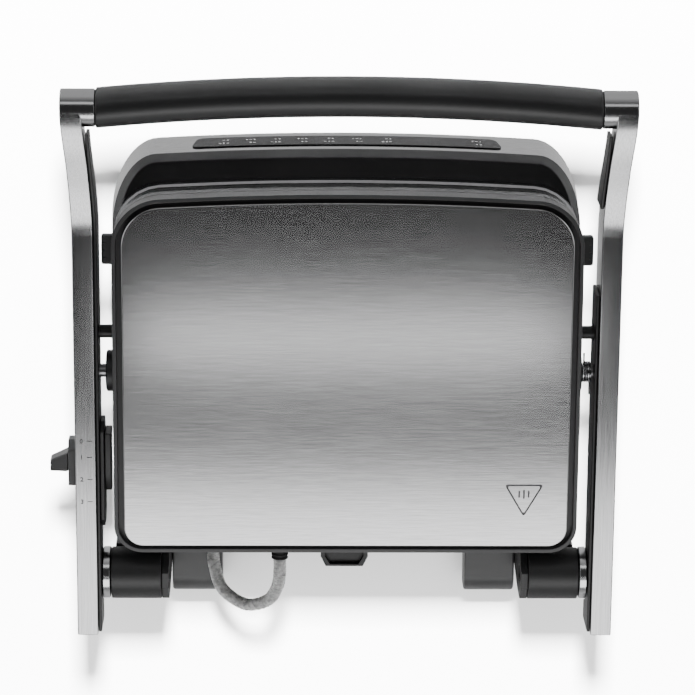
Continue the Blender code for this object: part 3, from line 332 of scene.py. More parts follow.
def addTurned(name, centre, axis, profile, count=64):
    # a round piece: the profile pairs are (place along the axis, radius), from one end to the other
    direction = {"X": Vector((1, 0, 0)), "Y": Vector((0, 1, 0)), "Z": Vector((0, 0, 1))}[axis]
    turn = {"X": (0, math.pi / 2, 0), "Y": (math.pi / 2, 0, 0), "Z": (0, 0, 0)}[axis]
    centre = Vector(centre)
    at, radius = profile[0]
    bpy.ops.object.select_all(action="DESELECT")
    bpy.ops.mesh.primitive_circle_add(vertices=count, radius=radius, fill_type="NGON",
                                      location=centre + direction * at, rotation=turn)
    piece = named(name)
    pick(piece, "FACE", lambda middle, out: True)
    for nextAt, nextRadius in profile[1:]:
        bpy.ops.mesh.extrude_region_move(TRANSFORM_OT_translate={"value": direction * (nextAt - at)})
        if nextRadius != radius:
            bpy.ops.transform.resize(value=[nextRadius / radius] * 3,
                                     center_override=centre + direction * nextAt)
        at, radius = nextAt, nextRadius
    return closeUp(piece)


def bore(piece, centre, axis, near, far, radius):
    # a round hole from one place on its axis to another
    return cutBy(piece, addTurned("boreTool", centre, axis, [(near, radius), (far, radius)], 40))


def addPlan(name, low, high, z, frontCorner, rearCorner):
    # a flat face with rounded corners and a bowed front edge; a front corner may be longer than it is wide
    bpy.ops.object.select_all(action="DESELECT")
    bpy.ops.mesh.primitive_plane_add(size=1, location=((low.x + high.x) / 2, (low.y + high.y) / 2, z))
    bpy.context.object.scale = (high.x - low.x, high.y - low.y, 1)
    piece = named(name)
    middleY = (low.y + high.y) / 2
    pick(piece, "VERT", lambda at, out: at.y > middleY)
    bpy.ops.mesh.bevel(affect="VERTICES", offset=rearCorner, segments=plan["cornerSteps"])
    bpy.ops.object.mode_set(mode="OBJECT")
    squeeze = frontCorner[0] / frontCorner[1]
    piece.scale.y = squeeze
    onlyThis(piece)
    bpy.ops.object.transform_apply(scale=True)
    pick(piece, "VERT", lambda at, out: at.y < (low.y + 1 * mm) * squeeze)
    bpy.ops.mesh.bevel(affect="VERTICES", offset=frontCorner[0], segments=plan["cornerSteps"])
    bpy.ops.object.mode_set(mode="OBJECT")
    piece.scale.y = 1 / squeeze
    onlyThis(piece)
    bpy.ops.object.transform_apply(scale=True)
    pick(piece, "EDGE", lambda at, along: abs(along.x) > 0.99 and at.y < low.y + nearby)
    bpy.ops.mesh.subdivide(number_cuts=plan["frontCuts"])
    bpy.ops.object.mode_set(mode="OBJECT")
    for corner in piece.data.vertices:
        share = (high.y - corner.co.y) / (high.y - low.y)
        corner.co.y += share * (corner.co.x - midX) ** 2 / (2 * plan["bow"])
    return piece


def buildUp(piece, steps):
    # walks a wall from the flat face: each step goes up and inwards by so much
    pick(piece, "FACE", lambda at, out: True)
    for up, inwards in steps:
        if inwards and up:
            bpy.ops.mesh.inset(thickness=inwards, depth=up)
        elif inwards:
            bpy.ops.mesh.inset(thickness=inwards, depth=0)
        else:
            bpy.ops.mesh.extrude_region_move(TRANSFORM_OT_translate={"value": (0, 0, up)})
    return closeUp(piece)


def copyOf(node, name, width=0.0, segments=2):
    # a copy of a CAD node with its loose triangles made whole faces, and its sharp edges softened
    piece = bpy.data.objects.new(name, nodes[node].data.copy())
    bpy.context.scene.collection.objects.link(piece)
    onlyThis(piece)
    bpy.ops.object.mode_set(mode="EDIT")
    bpy.ops.mesh.select_all(action="SELECT")
    bpy.ops.mesh.remove_doubles(threshold=0.005 * mm)
    bpy.ops.mesh.dissolve_limited(angle_limit=math.radians(0.5))
    bpy.ops.object.mode_set(mode="OBJECT")
    return rounded(piece, width, segments) if width else piece


def done(piece, body, finish, replaced=(), smooth=32):
    onlyThis(piece)
    bpy.ops.object.shade_smooth_by_angle(angle=math.radians(smooth))
    # flat faces stay flat right up to their bevels
    shaped(piece, "WEIGHTED_NORMAL", weight=100, keep_sharp=True)
    piece.data.materials.clear()
    piece.data.materials.append(finishes[finish])
    if body:
        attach(piece, body)
    if replaced:
        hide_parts(*replaced)
    return piece


def makeCover():
    look = {"sheet": 1.2 * mm, "edge": 0.9 * mm, "frontCorner": 25 * mm, "rearCorner": 13 * mm}
    piece = addPlan("coverSheet", coverLow, coverHigh, coverLow.z, (look["frontCorner"],) * 2,
                    look["rearCorner"])
    height = coverHigh.z - coverLow.z
    buildUp(piece, [(height, 0)])
    rounded(piece, look["edge"], 3)
    pick(piece, "FACE", lambda at, out: out.z < -0.9)
    bpy.ops.mesh.inset(thickness=look["sheet"], depth=0)
    bpy.ops.mesh.extrude_region_move(TRANSFORM_OT_translate={"value": (0, 0, height - look["sheet"])})
    return closeUp(piece)


def addTriangle(name, centre, radius, corner, low, high):
    # an upright three-sided bar with rounded edges, its tip towards the hinge
    bpy.ops.object.select_all(action="DESELECT")
    bpy.ops.mesh.primitive_cylinder_add(vertices=3, radius=radius, depth=high - low,
                                        location=(centre.x, centre.y, (low + high) / 2))
    return soften(named(name), lambda at, along: abs(along.z) > 0.9, corner, 5)


def engraveMark(cover):
    # a plain stamped triangle with three short bars, where the lid gets hottest
    look = {"fromCorner": Vector((29.8, -36.6)) * mm, "radius": 15.4 * mm, "line": 1.1 * mm,
            "depth": 0.5 * mm, "corner": 2.6 * mm, "innerCorner": 2 * mm, "past": 1 * mm,
            "barWidth": 1.1 * mm, "barPitch": 3.2 * mm, "barDrop": 0.8 * mm, "barLengths": (5, 6.4, 5)}
    centre = Vector((coverLow.x, coverHigh.y)) + look["fromCorner"]
    low, high = coverHigh.z - look["depth"], coverHigh.z + 2 * look["past"]
    ring = addTriangle("markTool", centre, look["radius"], look["corner"], low, high)
    inner = addTriangle("markInner", centre, look["radius"] - 2 * look["line"], look["innerCorner"],
                        low - look["past"], high + look["past"])
    cutBy(ring, inner)
    cutBy(cover, ring)
    for index, length in enumerate(look["barLengths"]):
        x = centre.x + (index - 1) * look["barPitch"]
        half = length * mm / 2
        bar = addBlock("barTool", (x - look["barWidth"] / 2, centre.y - look["barDrop"] - half, low),
                       (x + look["barWidth"] / 2, centre.y - look["barDrop"] + half, high))
        cutBy(cover, soften(bar, lambda at, along: abs(along.z) > 0.9, look["barWidth"] * 0.45, 3))
    done(cover, "lid", "steelSideways", ["lid_cover"])
    # the floors of the mark's lines take a dull grey colour, darker than the sheet
    cover.data.materials.append(finishes["grooveFloorGrey"])
    for face in cover.data.polygons:
        inMark = (Vector(face.center[:2]) - centre).length < look["radius"]
        onFloor = low - nearby < face.center.z < low + nearby / 2 and face.normal.z > 0.9
        face.material_index = 1 if inMark and onFloor else 0


def makeShell():
    look = {"lip": 2.6 * mm, "groove": 6 * mm, "seamUp": 9 * mm, "seam": 0.8 * mm, "seamDeep": 0.6 * mm,
            "roof": 3 * mm, "edge": 0.7 * mm, "exitX": 38.3 * mm, "exitZ": 92 * mm, "exit": 5 * mm,
            "windowGap": Vector((4, 0.5, 0.5)) * mm}
    piece = addPlan("lidShell", lidLow, lidHigh, lidLow.z, (lidCorner["front"],) * 2, lidCorner["rear"])
    height = lidHigh.z - lidLow.z
    buildUp(piece, [(look["seamUp"], 0), (look["seam"], 0), (height - look["seamUp"] - look["seam"], 0),
                    (0, look["lip"]), (-look["groove"], 0)])
    seamLow = lidLow.z + look["seamUp"]
    pick(piece, "FACE", lambda at, out: abs(out.z) < 0.1 and seamLow < at.z < seamLow + look["seam"])
    bpy.ops.mesh.extrude_region_shrink_fatten(TRANSFORM_OT_shrink_fatten={"value": -look["seamDeep"]})
    pick(piece, "FACE", lambda at, out: out.z < -0.9 and at.z < lidLow.z + nearby)
    bpy.ops.mesh.inset(thickness=look["lip"], depth=0)
    inner = height - look["groove"] - look["roof"]
    bpy.ops.mesh.extrude_region_move(TRANSFORM_OT_translate={"value": (0, 0, inner)})
    closeUp(piece)
    rounded(piece, look["edge"], 2, 60)
    for side in sides:
        low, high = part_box("release_button_" + side)
        cutBy(piece, addBlock("windowTool", low - look["windowGap"], high + look["windowGap"]))
    bore(piece, (look["exitX"], lidHigh.y, look["exitZ"]), "Y", -6 * mm, 3 * mm, look["exit"])
    return done(piece, "lid", "greyAbs", ["lid_shell"])


def makePlate(node, name, body):
    # coated casting whose machined rim is left bare: outer walls within the rim's width of an edge
    look = {"soft": 0.8 * mm, "rim": 14 * mm, "upTo": 0.9, "downTo": -0.6}
    low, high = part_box(node)
    piece = copyOf(node, name, look["soft"])
    done(piece, body, "nonStick", [node])
    piece.data.materials.append(finishes["bareRim"])
    for face in piece.data.polygons:
        at = face.center
        edge = min(at.x - low.x, high.x - at.x, at.y - low.y) < look["rim"]
        face.material_index = 1 if edge and look["downTo"] < face.normal.z < look["upTo"] else 0


def makePivot(side, sign):
    look = {"soft": (0.9 * mm, 0.3 * mm), "inset": (0.5 * mm, 1.4 * mm), "bore": 4.8 * mm, "floor": 0.3 * mm,
            "pegSoft": 0.6 * mm}
    low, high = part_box("pivot_boss_" + side)
    centre = (0, (low.y + high.y) / 2, (low.z + high.z) / 2)
    inner, outer = sorted((low.x, high.x), key=abs)
    radius = (high.y - low.y) / 2
    (early, late), (small, large) = look["soft"], look["inset"]
    boss = addTurned("pivotBoss_" + side, centre, "X", [
        (inner, radius), (outer - early * sign, radius), (outer - late * sign, radius - small),
        (outer, radius - large), (outer, look["bore"]), (inner + look["floor"] * sign, look["bore"])])
    done(boss, "lid", "blackAbs", ["pivot_boss_" + side])
    low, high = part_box("stop_peg_" + side)
    centre = (0, (low.y + high.y) / 2, (low.z + high.z) / 2)
    inner, outer = sorted((low.x, high.x), key=abs)
    radius = (high.y - low.y) / 2
    peg = addTurned("stopPeg_" + side, centre, "X", [
        (inner, radius), (outer - look["pegSoft"] * sign, radius), (outer, radius - look["pegSoft"])], 40)
    done(peg, "lid", "blackAbs", ["stop_peg_" + side])


def makeButton(side, sign):
    # three shallow grooves across the top give the thumb a grip
    look = {"grooves": 3, "long": 3 * mm, "half": 0.5 * mm, "past": 1 * mm}
    low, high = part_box("release_button_" + side)
    button = copyOf("release_button_" + side, "releaseButton_" + side)
    face = low.x if sign < 0 else high.x
    for groove in range(look["grooves"]):
        y = low.y + (high.y - low.y) * (groove + 1) / (look["grooves"] + 1)
        near, far = sorted((face, face - look["long"] * sign))
        cutBy(button, addBlock("gripTool", (near, y - look["half"], high.z - look["half"]),
                               (far, y + look["half"], high.z + look["past"])))
    done(button, "button_" + side, "blackAbs", ["release_button_" + side])


def makeLidRelief():
    # a rubber sleeve in four rings that get thinner towards the conduit
    look = {"rings": 4, "taper": 0.12 * mm, "neck": 1 * mm, "start": 0.8 * mm,
            "bore": 4.7 * mm, "past": 2 * mm}
    low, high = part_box("lid_relief")
    centre = ((low.x + high.x) / 2, 0, (low.z + high.z) / 2)
    radius = (high.x - low.x) / 2
    pitch = (high.y - low.y) / look["rings"]
    profile = [(low.y, radius - look["start"])]
    for ring in range(look["rings"]):
        at = low.y + ring * pitch
        shrink = look["taper"] * ring
        for share, thinner in ((0.25, 0), (0.55, 0), (0.72, look["neck"]), (1, look["neck"])):
            profile.append((at + share * pitch, radius - thinner - shrink))
    relief = addTurned("lidRelief", centre, "Y", profile, 48)
    bore(relief, centre, "Y", low.y - look["past"], high.y + look["past"], look["bore"])
    done(relief, "lid", "rubber", ["lid_relief"])


def makeLidFittings():
    makePlate("upper_plate", "upperPlateCasting", "lid")
    done(copyOf("lid_heater", "lidHeatingTube"), "lid", "heatedTube", ["lid_heater"])
    for side, sign in sides.items():
        makePivot(side, sign)
        makeButton(side, sign)
    makeLidRelief()


cover = makeCover()
engraveMark(cover)
makeShell()
makeLidFittings()
print("lid made")


base = {"lean": 2.4 * mm, "bottom": 8 * mm, "wallHeight": 44 * mm, "frontCorner": Vector((32, 54)) * mm,
        "rearCorner": 18.9 * mm, "panelProud": 0.3 * mm, "panelThick": 0.5 * mm}
baseLow = Vector((deckLow.x - base["lean"], deckLow.y - base["lean"], 0))
baseHigh = Vector((deckHigh.x + base["lean"], deckHigh.y + base["lean"], 0))


def basePlan(name, z, inset):
    # the base's outline at a height: its walls lean in from the bottom to the deck
    total = inset + base["lean"] * (z - base["bottom"]) / base["wallHeight"]
    margin = Vector((total, total, 0))
    corner = base["frontCorner"] - Vector((total, total))
    return addPlan(name, baseLow + margin, baseHigh - margin, z, corner, base["rearCorner"] - total)


def addSkirt(name, low, high, inset):
    # only the wall of the base between two heights, without floor or roof
    piece = basePlan(name, low, inset)
    height = high - low
    buildUp(piece, [(height, base["lean"] * height / base["wallHeight"])])
    pick(piece, "FACE", lambda at, out: abs(out.z) > 0.9)
    bpy.ops.mesh.delete(type="FACE")
    bpy.ops.object.mode_set(mode="OBJECT")
    return piece


def makeHousing():
    look = {"wall": 2.5 * mm, "inset": 2.3 * mm, "edge": 1.4 * mm,
            "holes": {"base_relief": 5 * mm, "mains_gland": 5.8 * mm}}
    low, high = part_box("base_housing")
    piece = basePlan("baseHousing", low.z, look["inset"])
    height = high.z - low.z
    buildUp(piece, [(height, base["lean"] * height / base["wallHeight"]), (0, look["wall"]),
                    (look["wall"] - height, 0)])
    soften(piece, lambda at, along: at.z < low.z + nearby, look["edge"], 3)
    for node, radius in look["holes"].items():
        near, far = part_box(node)
        centre = ((near.x + far.x) / 2, baseHigh.y, (near.z + far.z) / 2)
        bore(piece, centre, "Y", -9 * mm, 2 * mm, radius)
    return done(piece, "base", "blackAbs", ["base_housing"])


def makeDeck():
    look = {"rise": 4 * mm, "chamfer": 5 * mm, "opening": 5.7 * mm, "below": 2 * mm, "through": 12 * mm,
            "edge": 0.5 * mm}
    piece = basePlan("deckRing", deckLow.z, 0)
    buildUp(piece, [(look["rise"], look["chamfer"])])
    margin = Vector((look["opening"], look["opening"], 0))
    tool = addPlan("openingTool", lidLow + margin, lidHigh - margin, deckLow.z - look["below"],
                   (lidCorner["front"] - look["opening"],) * 2, lidCorner["rear"] - look["opening"])
    buildUp(tool, [(look["through"], 0)])
    cutBy(piece, tool)
    rounded(piece, look["edge"], 2, 20)
    return done(piece, "base", "deckAbs", ["base_deck"], 25)


def makeFascia():
    look = {"sheet": 2 * mm, "wrap": 78 * mm, "edge": 0.5 * mm}
    low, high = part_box("front_fascia")
    piece = addSkirt("fasciaSheet", low.z, high.z, 0)
    end = baseLow.y + look["wrap"]
    pick(piece, "FACE", lambda at, out: True)
    bpy.ops.mesh.bisect(plane_co=(0, end, 0), plane_no=(0, 1, 0), clear_outer=True)
    bpy.ops.object.mode_set(mode="OBJECT")
    shaped(piece, "SOLIDIFY", thickness=look["sheet"], offset=-1)
    rounded(piece, look["edge"], 2)
    return done(piece, "base", "steelSideways", ["front_fascia"])


def makePanel():
    look = {"corner": 5 * mm, "slant": 4 * mm, "half": 105 * mm, "deep": 20 * mm, "past": 0.01 * mm}
    low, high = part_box("control_panel")
    piece = addSkirt("controlPanel", low.z, high.z, -base["panelProud"])
    shaped(piece, "SOLIDIFY", thickness=base["panelThick"], offset=1)
    tool = addBlock("panelTool", (midX - look["half"], low.y - look["deep"], low.z - look["past"]),
                    (midX + look["half"], low.y + look["deep"], high.z + look["past"]))
    pick(tool, "VERT", lambda at, out: at.z < low.z + 1 * mm)
    bpy.ops.transform.resize(value=(1 - look["slant"] / look["half"], 1, 1),
                             center_override=(midX, low.y, low.z))
    bpy.ops.object.mode_set(mode="OBJECT")
    soften(tool, lambda at, along: abs(along.y) > 0.9, look["corner"], 6)
    cutBy(piece, tool, "INTERSECT")
    return done(piece, "base", "glossPanel", ["control_panel"])


def panelFace(x, z):
    # where the panel's face is at a place along it, on the bowed and leaning wall
    front = baseLow.y + base["lean"] * (z - base["bottom"]) / base["wallHeight"]
    front -= base["panelProud"] + base["panelThick"]
    share = (baseHigh.y - front) / (baseHigh.y - baseLow.y)
    return front + share * (x - midX) ** 2 / (2 * plan["bow"])


def makePanelMarks():
    # touch symbols kept plain: a short bar over a row of dots for each key
    look = {"keys": (83, 65, 48, 30, 12, -7, -27, -88), "rows": (0.34, 0.68), "dot": 1.1 * mm,
            "pitch": 2.6 * mm, "long": (1.6, 0.5), "thick": 0.12 * mm, "edge": 0.1 * mm}
    low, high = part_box("control_panel")
    dots = []
    for number, key in enumerate(look["keys"]):
        for row, share in enumerate(look["rows"]):
            z = low.z + (high.z - low.z) * share
            for step in range(2 + (number + row) % 2):
                x = midX + key * mm + (step - 1) * look["pitch"]
                face = panelFace(x, z)
                wide, tall = (look["dot"] * part for part in (look["long"] if (step + row) % 2 else (1, 1)))
                dot = addBlock("touchMark", (x - wide / 2, face - look["thick"], z - tall / 2),
                               (x + wide / 2, face + look["thick"], z + tall / 2))
                dots.append(rounded(dot, look["edge"], 1))
    marks = joined(dots, "touchMarks")
    return done(marks, "base", "whiteInk")


def makeFoot(name):
    # a rubber foot with a waist, as pairs of height and inset from its full radius
    look = {"hollow": 3 * mm, "inset": 0.8 * mm, "profile": (
        (0, 1.6), (0.5, 0.6), (1.4, 0), (3.4, 0.2), (3.9, 0.9), (4.5, 0.4))}
    low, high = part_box(name)
    centre = ((low.x + high.x) / 2, (low.y + high.y) / 2, 0)
    radius = (high.x - low.x) / 2
    profile = [(up * mm, radius - inset * mm) for up, inset in look["profile"]]
    foot = addTurned(name, centre, "Z", [(0, look["hollow"]), *profile, (high.z, radius - look["inset"])], 48)
    done(foot, "base", "rubber", [name])


def makeBarrel(side):
    look = {"radius": 17.7 * mm, "soft": 0.4 * mm, "edge": 1 * mm, "shaft": 6.25 * mm, "legInset": 2 * mm}
    low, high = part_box("hinge_barrel_" + side)
    axisLow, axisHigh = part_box("hinge_shaft_" + side)
    centre = Vector((0, (axisLow.y + axisHigh.y) / 2, (axisLow.z + axisHigh.z) / 2))
    radius, soft = look["radius"], look["soft"]
    barrel = addTurned("hingeBarrel_" + side, centre, "X", [
        (low.x, radius - soft), (low.x + soft, radius), (high.x - soft, radius), (high.x, radius - soft)], 72)
    leg = addBlock("legTool", (low.x + look["legInset"], low.y, low.z),
                   (high.x - look["legInset"], centre.y + radius / 2, centre.z - radius / 2))
    cutBy(barrel, rounded(leg, look["edge"], 3), "UNION")
    bore(barrel, centre, "X", low.x - 2 * mm, high.x + 2 * mm, look["shaft"])
    done(barrel, "base", "blackAbs", ["hinge_barrel_" + side])


def makeBaseFittings():
    makePlate("lower_plate", "lowerPlateCasting", "base")
    for node, name, edge, finish, slot in (
            ("lower_heater", "lowerHeatingTube", 0, "heatedTube", "heater"),
            ("heat_tray", "heatTray", 0.3, "bareSteel", "steel_parts"),
            ("bottom_plate", "bottomPlate", 0.3, "bareSteel", "steel_parts"),
            ("control_board", "controlBoard", 0.2, "circuitBoard", "board")):
        done(copyOf(node, name, edge * mm), "base", finish, [node])
    for end in ("front", "rear"):
        for side in sides:
            makeFoot(f"foot_{end}_{side}")
    for side in sides:
        makeBarrel(side)
        done(copyOf("hinge_ear_" + side, "hingeEar_" + side, 0.5 * mm), "base", "blackAbs",
             ["hinge_ear_" + side])
        done(copyOf("rear_stand_" + side, "rearStand_" + side), "base", "greyAbs",
             ["rear_stand_" + side])
    done(copyOf("mains_gland", "mainsGland", 0.3 * mm), "base", "rubber", ["mains_gland"])
    done(copyOf("base_relief", "baseRelief", 0.3 * mm), "base", "rubber", ["base_relief"])


makeHousing()
makeDeck()
makeFascia()
makePanel()
makePanelMarks()
makeBaseFittings()
print("base made")


arm = {"gap": 12.4 * mm, "thick": 14 * mm, "height": 34 * mm, "frontHeight": 22 * mm, "flare": 3.5 * mm,
       "middleZ": 83 * mm, "rise": 90 * mm, "eyeRadius": 12.5 * mm, "eyeWidth": 22.7 * mm, "edge": 0.9 * mm,
       "blend": 42 * mm, "eyeStep": 0.1 * mm, "swell": 1.4 * mm, "shaftBore": 6.3 * mm}
rodLow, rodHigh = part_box("handle_rod")
gripLow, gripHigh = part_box("handle_grip")
handleZ = (gripLow.z + gripHigh.z) / 2
gripRadius = (gripHigh.z - gripLow.z) / 2
gripHalf = (gripHigh.x - gripLow.x) / 2
handleBow = 1.7  # metres
eyeY = gripLow.y + gripRadius + gripHalf ** 2 / (2 * handleBow)
hingeLow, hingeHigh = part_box("hinge_shaft_right")
hingeY, hingeZ = (hingeLow.y + hingeHigh.y) / 2, (hingeLow.z + hingeHigh.z) / 2
pinLow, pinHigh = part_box("pivot_pin_right")
pivotY, pivotZ = (pinLow.y + pinHigh.y) / 2, (pinLow.z + pinHigh.z) / 2


def armCourse(y):
    # middle height, half height and outward shift of an arm at a place along it
    share = min(max((eyeY + arm["rise"] - y) / arm["rise"], 0), 1)
    ease = share * share * (3 - 2 * share)
    near = min(max((eyeY + arm["blend"] - y) / arm["blend"], 0), 1)
    near = near * near * (3 - 2 * near)  # the last stretch swells into the eye, flush with it
    middle = arm["middleZ"] + (handleZ - arm["middleZ"]) * ease
    half = (arm["height"] + (arm["frontHeight"] - arm["height"]) * ease) / 2
    half += (arm["eyeRadius"] - arm["eyeStep"] - arm["frontHeight"] / 2) * near
    return middle, half, arm["flare"] * ease + arm["swell"] * near


def makeArm(side, sign):
    # bores as radius and depth, and the pivot's stop hole by its distance in front of the pivot
    look = {"steps": 26, "soft": 0.9 * mm, "rod": (8.5 * mm, 19.7 * mm), "hinge": (arm["shaftBore"], 8 * mm),
            "pivot": (4.8 * mm, 11 * mm), "stop": (5.9 * mm, 11 * mm), "stopAhead": 27.4 * mm,
            "slotFrom": (-15.5 * mm, 79 * mm), "slotTo": (35.5 * mm, 87 * mm), "slotHalf": 12 * mm,
            "slotEdge": 0.6 * mm}
    inner = lidHigh.x - midX + arm["gap"]
    low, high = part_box("arm_" + side)
    middle, half, shift = armCourse(high.y)
    at = midX + sign * (inner + inner + arm["thick"]) / 2
    y = eyeY + arm["rise"]
    piece = addBlock("armCasting_" + side, (at - arm["thick"] / 2, y, middle - half),
                     (at + arm["thick"] / 2, high.y, middle + half))
    pick(piece, "FACE", lambda place, out: out.y < -0.9)
    for step in range(1, look["steps"] + 1):
        nextY = eyeY + arm["rise"] - arm["rise"] * step / look["steps"]
        newMiddle, newHalf, newShift = armCourse(nextY)
        bpy.ops.mesh.extrude_region_move(TRANSFORM_OT_translate={
            "value": (sign * (newShift - shift), nextY - y, newMiddle - middle)})
        bpy.ops.transform.resize(value=(1, 1, newHalf / half), center_override=(at, nextY, newMiddle))
        y, middle, half, shift = nextY, newMiddle, newHalf, newShift
    closeUp(piece)
    rounded(piece, arm["edge"], 3, 60)
    eyeIn, eyeOut = (high.x - arm["eyeWidth"], high.x) if sign > 0 else (low.x, low.x + arm["eyeWidth"])
    radius, soft = arm["eyeRadius"], look["soft"]
    eye = addTurned("eyeTool", (0, eyeY, handleZ), "X", [
        (eyeIn, radius - soft), (eyeIn + soft * 0.3, radius - soft * 0.3), (eyeIn + soft, radius),
        (eyeOut - soft, radius), (eyeOut - soft * 0.3, radius - soft * 0.3), (eyeOut, radius - soft)], 72)
    cutBy(piece, eye, "UNION")
    armFace = at - sign * arm["thick"] / 2
    eyeFace = eyeIn if sign > 0 else eyeOut
    for y, z, face, (radius, deep) in (
            (eyeY, handleZ, eyeFace, look["rod"]), (hingeY, hingeZ, armFace, look["hinge"]),
            (pivotY, pivotZ, armFace, look["pivot"]),
            (pivotY - look["stopAhead"], pivotZ, armFace, look["stop"])):
        near, far = sorted((face - sign * 4 * mm, face + sign * deep))
        bore(piece, (0, y, z), "X", near, far, radius)
    if sign > 0:
        plateLow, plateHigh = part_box("slider_plate")
        middleY = (plateLow.y + plateHigh.y) / 2
        (frontY, floorZ), (rearY, roofZ) = look["slotFrom"], look["slotTo"]
        slot = addBlock("slotTool", (at - look["slotHalf"], middleY + frontY, floorZ),
                        (at + look["slotHalf"], middleY + rearY, roofZ))
        cutBy(piece, soften(slot, lambda place, along: abs(along.x) > 0.9, look["slotEdge"], 3))
    return done(piece, "arms", "aluminiumLengthwise", ["arm_" + side], 25)


def makeCollar(side):
    # a chromed ring with a clamping slit towards the rear
    look = {"soft": 0.5 * mm, "bevel": 1.6 * mm, "slitHalf": 1.1 * mm, "slitIn": 6 * mm, "slitOut": 2 * mm,
            "past": 1 * mm}
    low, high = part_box("hinge_collar_" + side)
    radius = (high.z - low.z) / 2
    soft = look["soft"]
    collar = addTurned("hingeCollar_" + side, (0, hingeY, hingeZ), "X", [
        (low.x, radius - look["bevel"]), (low.x + soft, radius - soft), (low.x + 2 * soft, radius),
        (high.x - 2 * soft, radius), (high.x - soft, radius - soft), (high.x, radius - look["bevel"])], 96)
    bore(collar, (0, hingeY, hingeZ), "X", low.x - 2 * mm, high.x + 2 * mm, arm["shaftBore"])
    slitZ = hingeZ + radius / 2
    rear = hingeY + radius
    slit = addBlock("slitTool", (low.x - look["past"], rear - look["slitIn"], slitZ - look["slitHalf"]),
                    (high.x + look["past"], rear + look["slitOut"], slitZ + look["slitHalf"]))
    cutBy(collar, slit)
    return done(collar, "arms", "satinChrome", ["hinge_collar_" + side])


def makeGrip():
    # a straight tube with softened ends, bent forward into its bow afterwards
    look = {"soft": 1.2 * mm, "shoulder": 0.4 * mm, "steps": 48}
    half, soft, shoulder = gripHalf, look["soft"], look["shoulder"]
    profile = [(-half, gripRadius - soft), (-half + shoulder, gripRadius - shoulder),
               (-half + soft, gripRadius)]
    for step in range(1, look["steps"]):
        profile.append((-half + soft + (half - soft) * 2 * step / look["steps"], gripRadius))
    profile += [(half - soft, gripRadius), (half - shoulder, gripRadius - shoulder),
                (half, gripRadius - soft)]
    grip = addTurned("handleGrip", (midX, eyeY, handleZ), "X", profile, 64)
    for corner in grip.data.vertices:
        corner.co.y -= (gripHalf ** 2 - (corner.co.x - midX) ** 2) / (2 * handleBow)
    return done(grip, "arms", "satinCharcoal", ["handle_grip"])


def makeSpring():
    # torsion spring of 1.2 mm wire: close coils round the pin, one leg to the lid and one to the arm
    look = {"wire": 1.2 * mm, "turns": 4.5, "points": 28, "radius": 6.5 * mm, "inset": 0.8 * mm,
            "lidLeg": ((0, -14.6, -0.9), (0, -7, 0)), "armLeg": ((0, 8, 0.4), (0, 17.4, 1))}
    low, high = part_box("torsion_spring")
    radius = look["radius"]
    startX, endX = high.x - look["inset"], low.x + look["inset"]
    total = round(look["turns"] * look["points"])
    route = []
    for step in range(total + 1):
        angle = 2 * math.pi * look["turns"] * step / total
        route.append(Vector((startX + (endX - startX) * step / total, pivotY + radius * math.sin(angle),
                             pivotZ + radius * math.cos(angle))))
    firstLeg = [route[0] + Vector(place) * mm for place in look["lidLeg"]]
    lastLeg = [route[-1] + Vector(place) * mm for place in look["armLeg"]]
    curve = bpy.data.curves.new("torsionSpring", "CURVE")
    curve.dimensions = "3D"
    curve.bevel_depth = look["wire"] / 2
    curve.bevel_resolution = 3
    curve.use_fill_caps = True
    line = curve.splines.new("POLY")
    route = firstLeg + route + lastLeg
    line.points.add(len(route) - 1)
    for point, place in zip(line.points, route):
        point.co = (*place, 1)
    spring = bpy.data.objects.new("torsionSpring", curve)
    bpy.context.scene.collection.objects.link(spring)
    onlyThis(spring)
    bpy.ops.object.convert(target="MESH")
    spring = bpy.context.object
    pick(spring, "VERT", lambda at, out: True)
    bpy.ops.mesh.remove_doubles(threshold=0.01 * mm)
    closeUp(spring)
    return done(spring, "arms", "satinChrome", ["torsion_spring"])


def makeArmMarks():
    # setting marks beside the slider: a tick and a plain number for each position
    look = {"places": (56.38, 67.78, 83.38, 99.18), "tick": Vector((3.4, 0.5)) * mm, "tickIn": 2.4 * mm,
            "letterIn": 10.6 * mm, "letter": 4.2 * mm, "thick": 0.06 * mm, "sunk": 0.1 * mm,
            "bold": 0.09 * mm}
    top = arm["middleZ"] + arm["height"] / 2
    inner = lidHigh.x + arm["gap"]
    start = inner + look["tickIn"]
    marks = []
    for number, place in enumerate(look["places"]):
        y = place * mm
        marks.append(addBlock("settingTick", (start, y - look["tick"].y / 2, top - look["sunk"]),
                              (start + look["tick"].x, y + look["tick"].y / 2, top + look["thick"])))
        bpy.ops.object.select_all(action="DESELECT")
        bpy.ops.object.text_add(rotation=(0, 0, math.pi), location=(
            inner + look["letterIn"], y + look["letter"] * 0.34, top + look["thick"] / 2))
        text = bpy.context.object
        text.data.body = str(number)
        text.data.size = look["letter"]
        text.data.extrude = look["thick"] / 2
        text.data.offset = look["bold"]
        bpy.ops.object.convert(target="MESH")
        marks.append(named("settingNumber"))
    marks = joined(marks, "settingMarks")
    return done(marks, "arms", "blackInk")


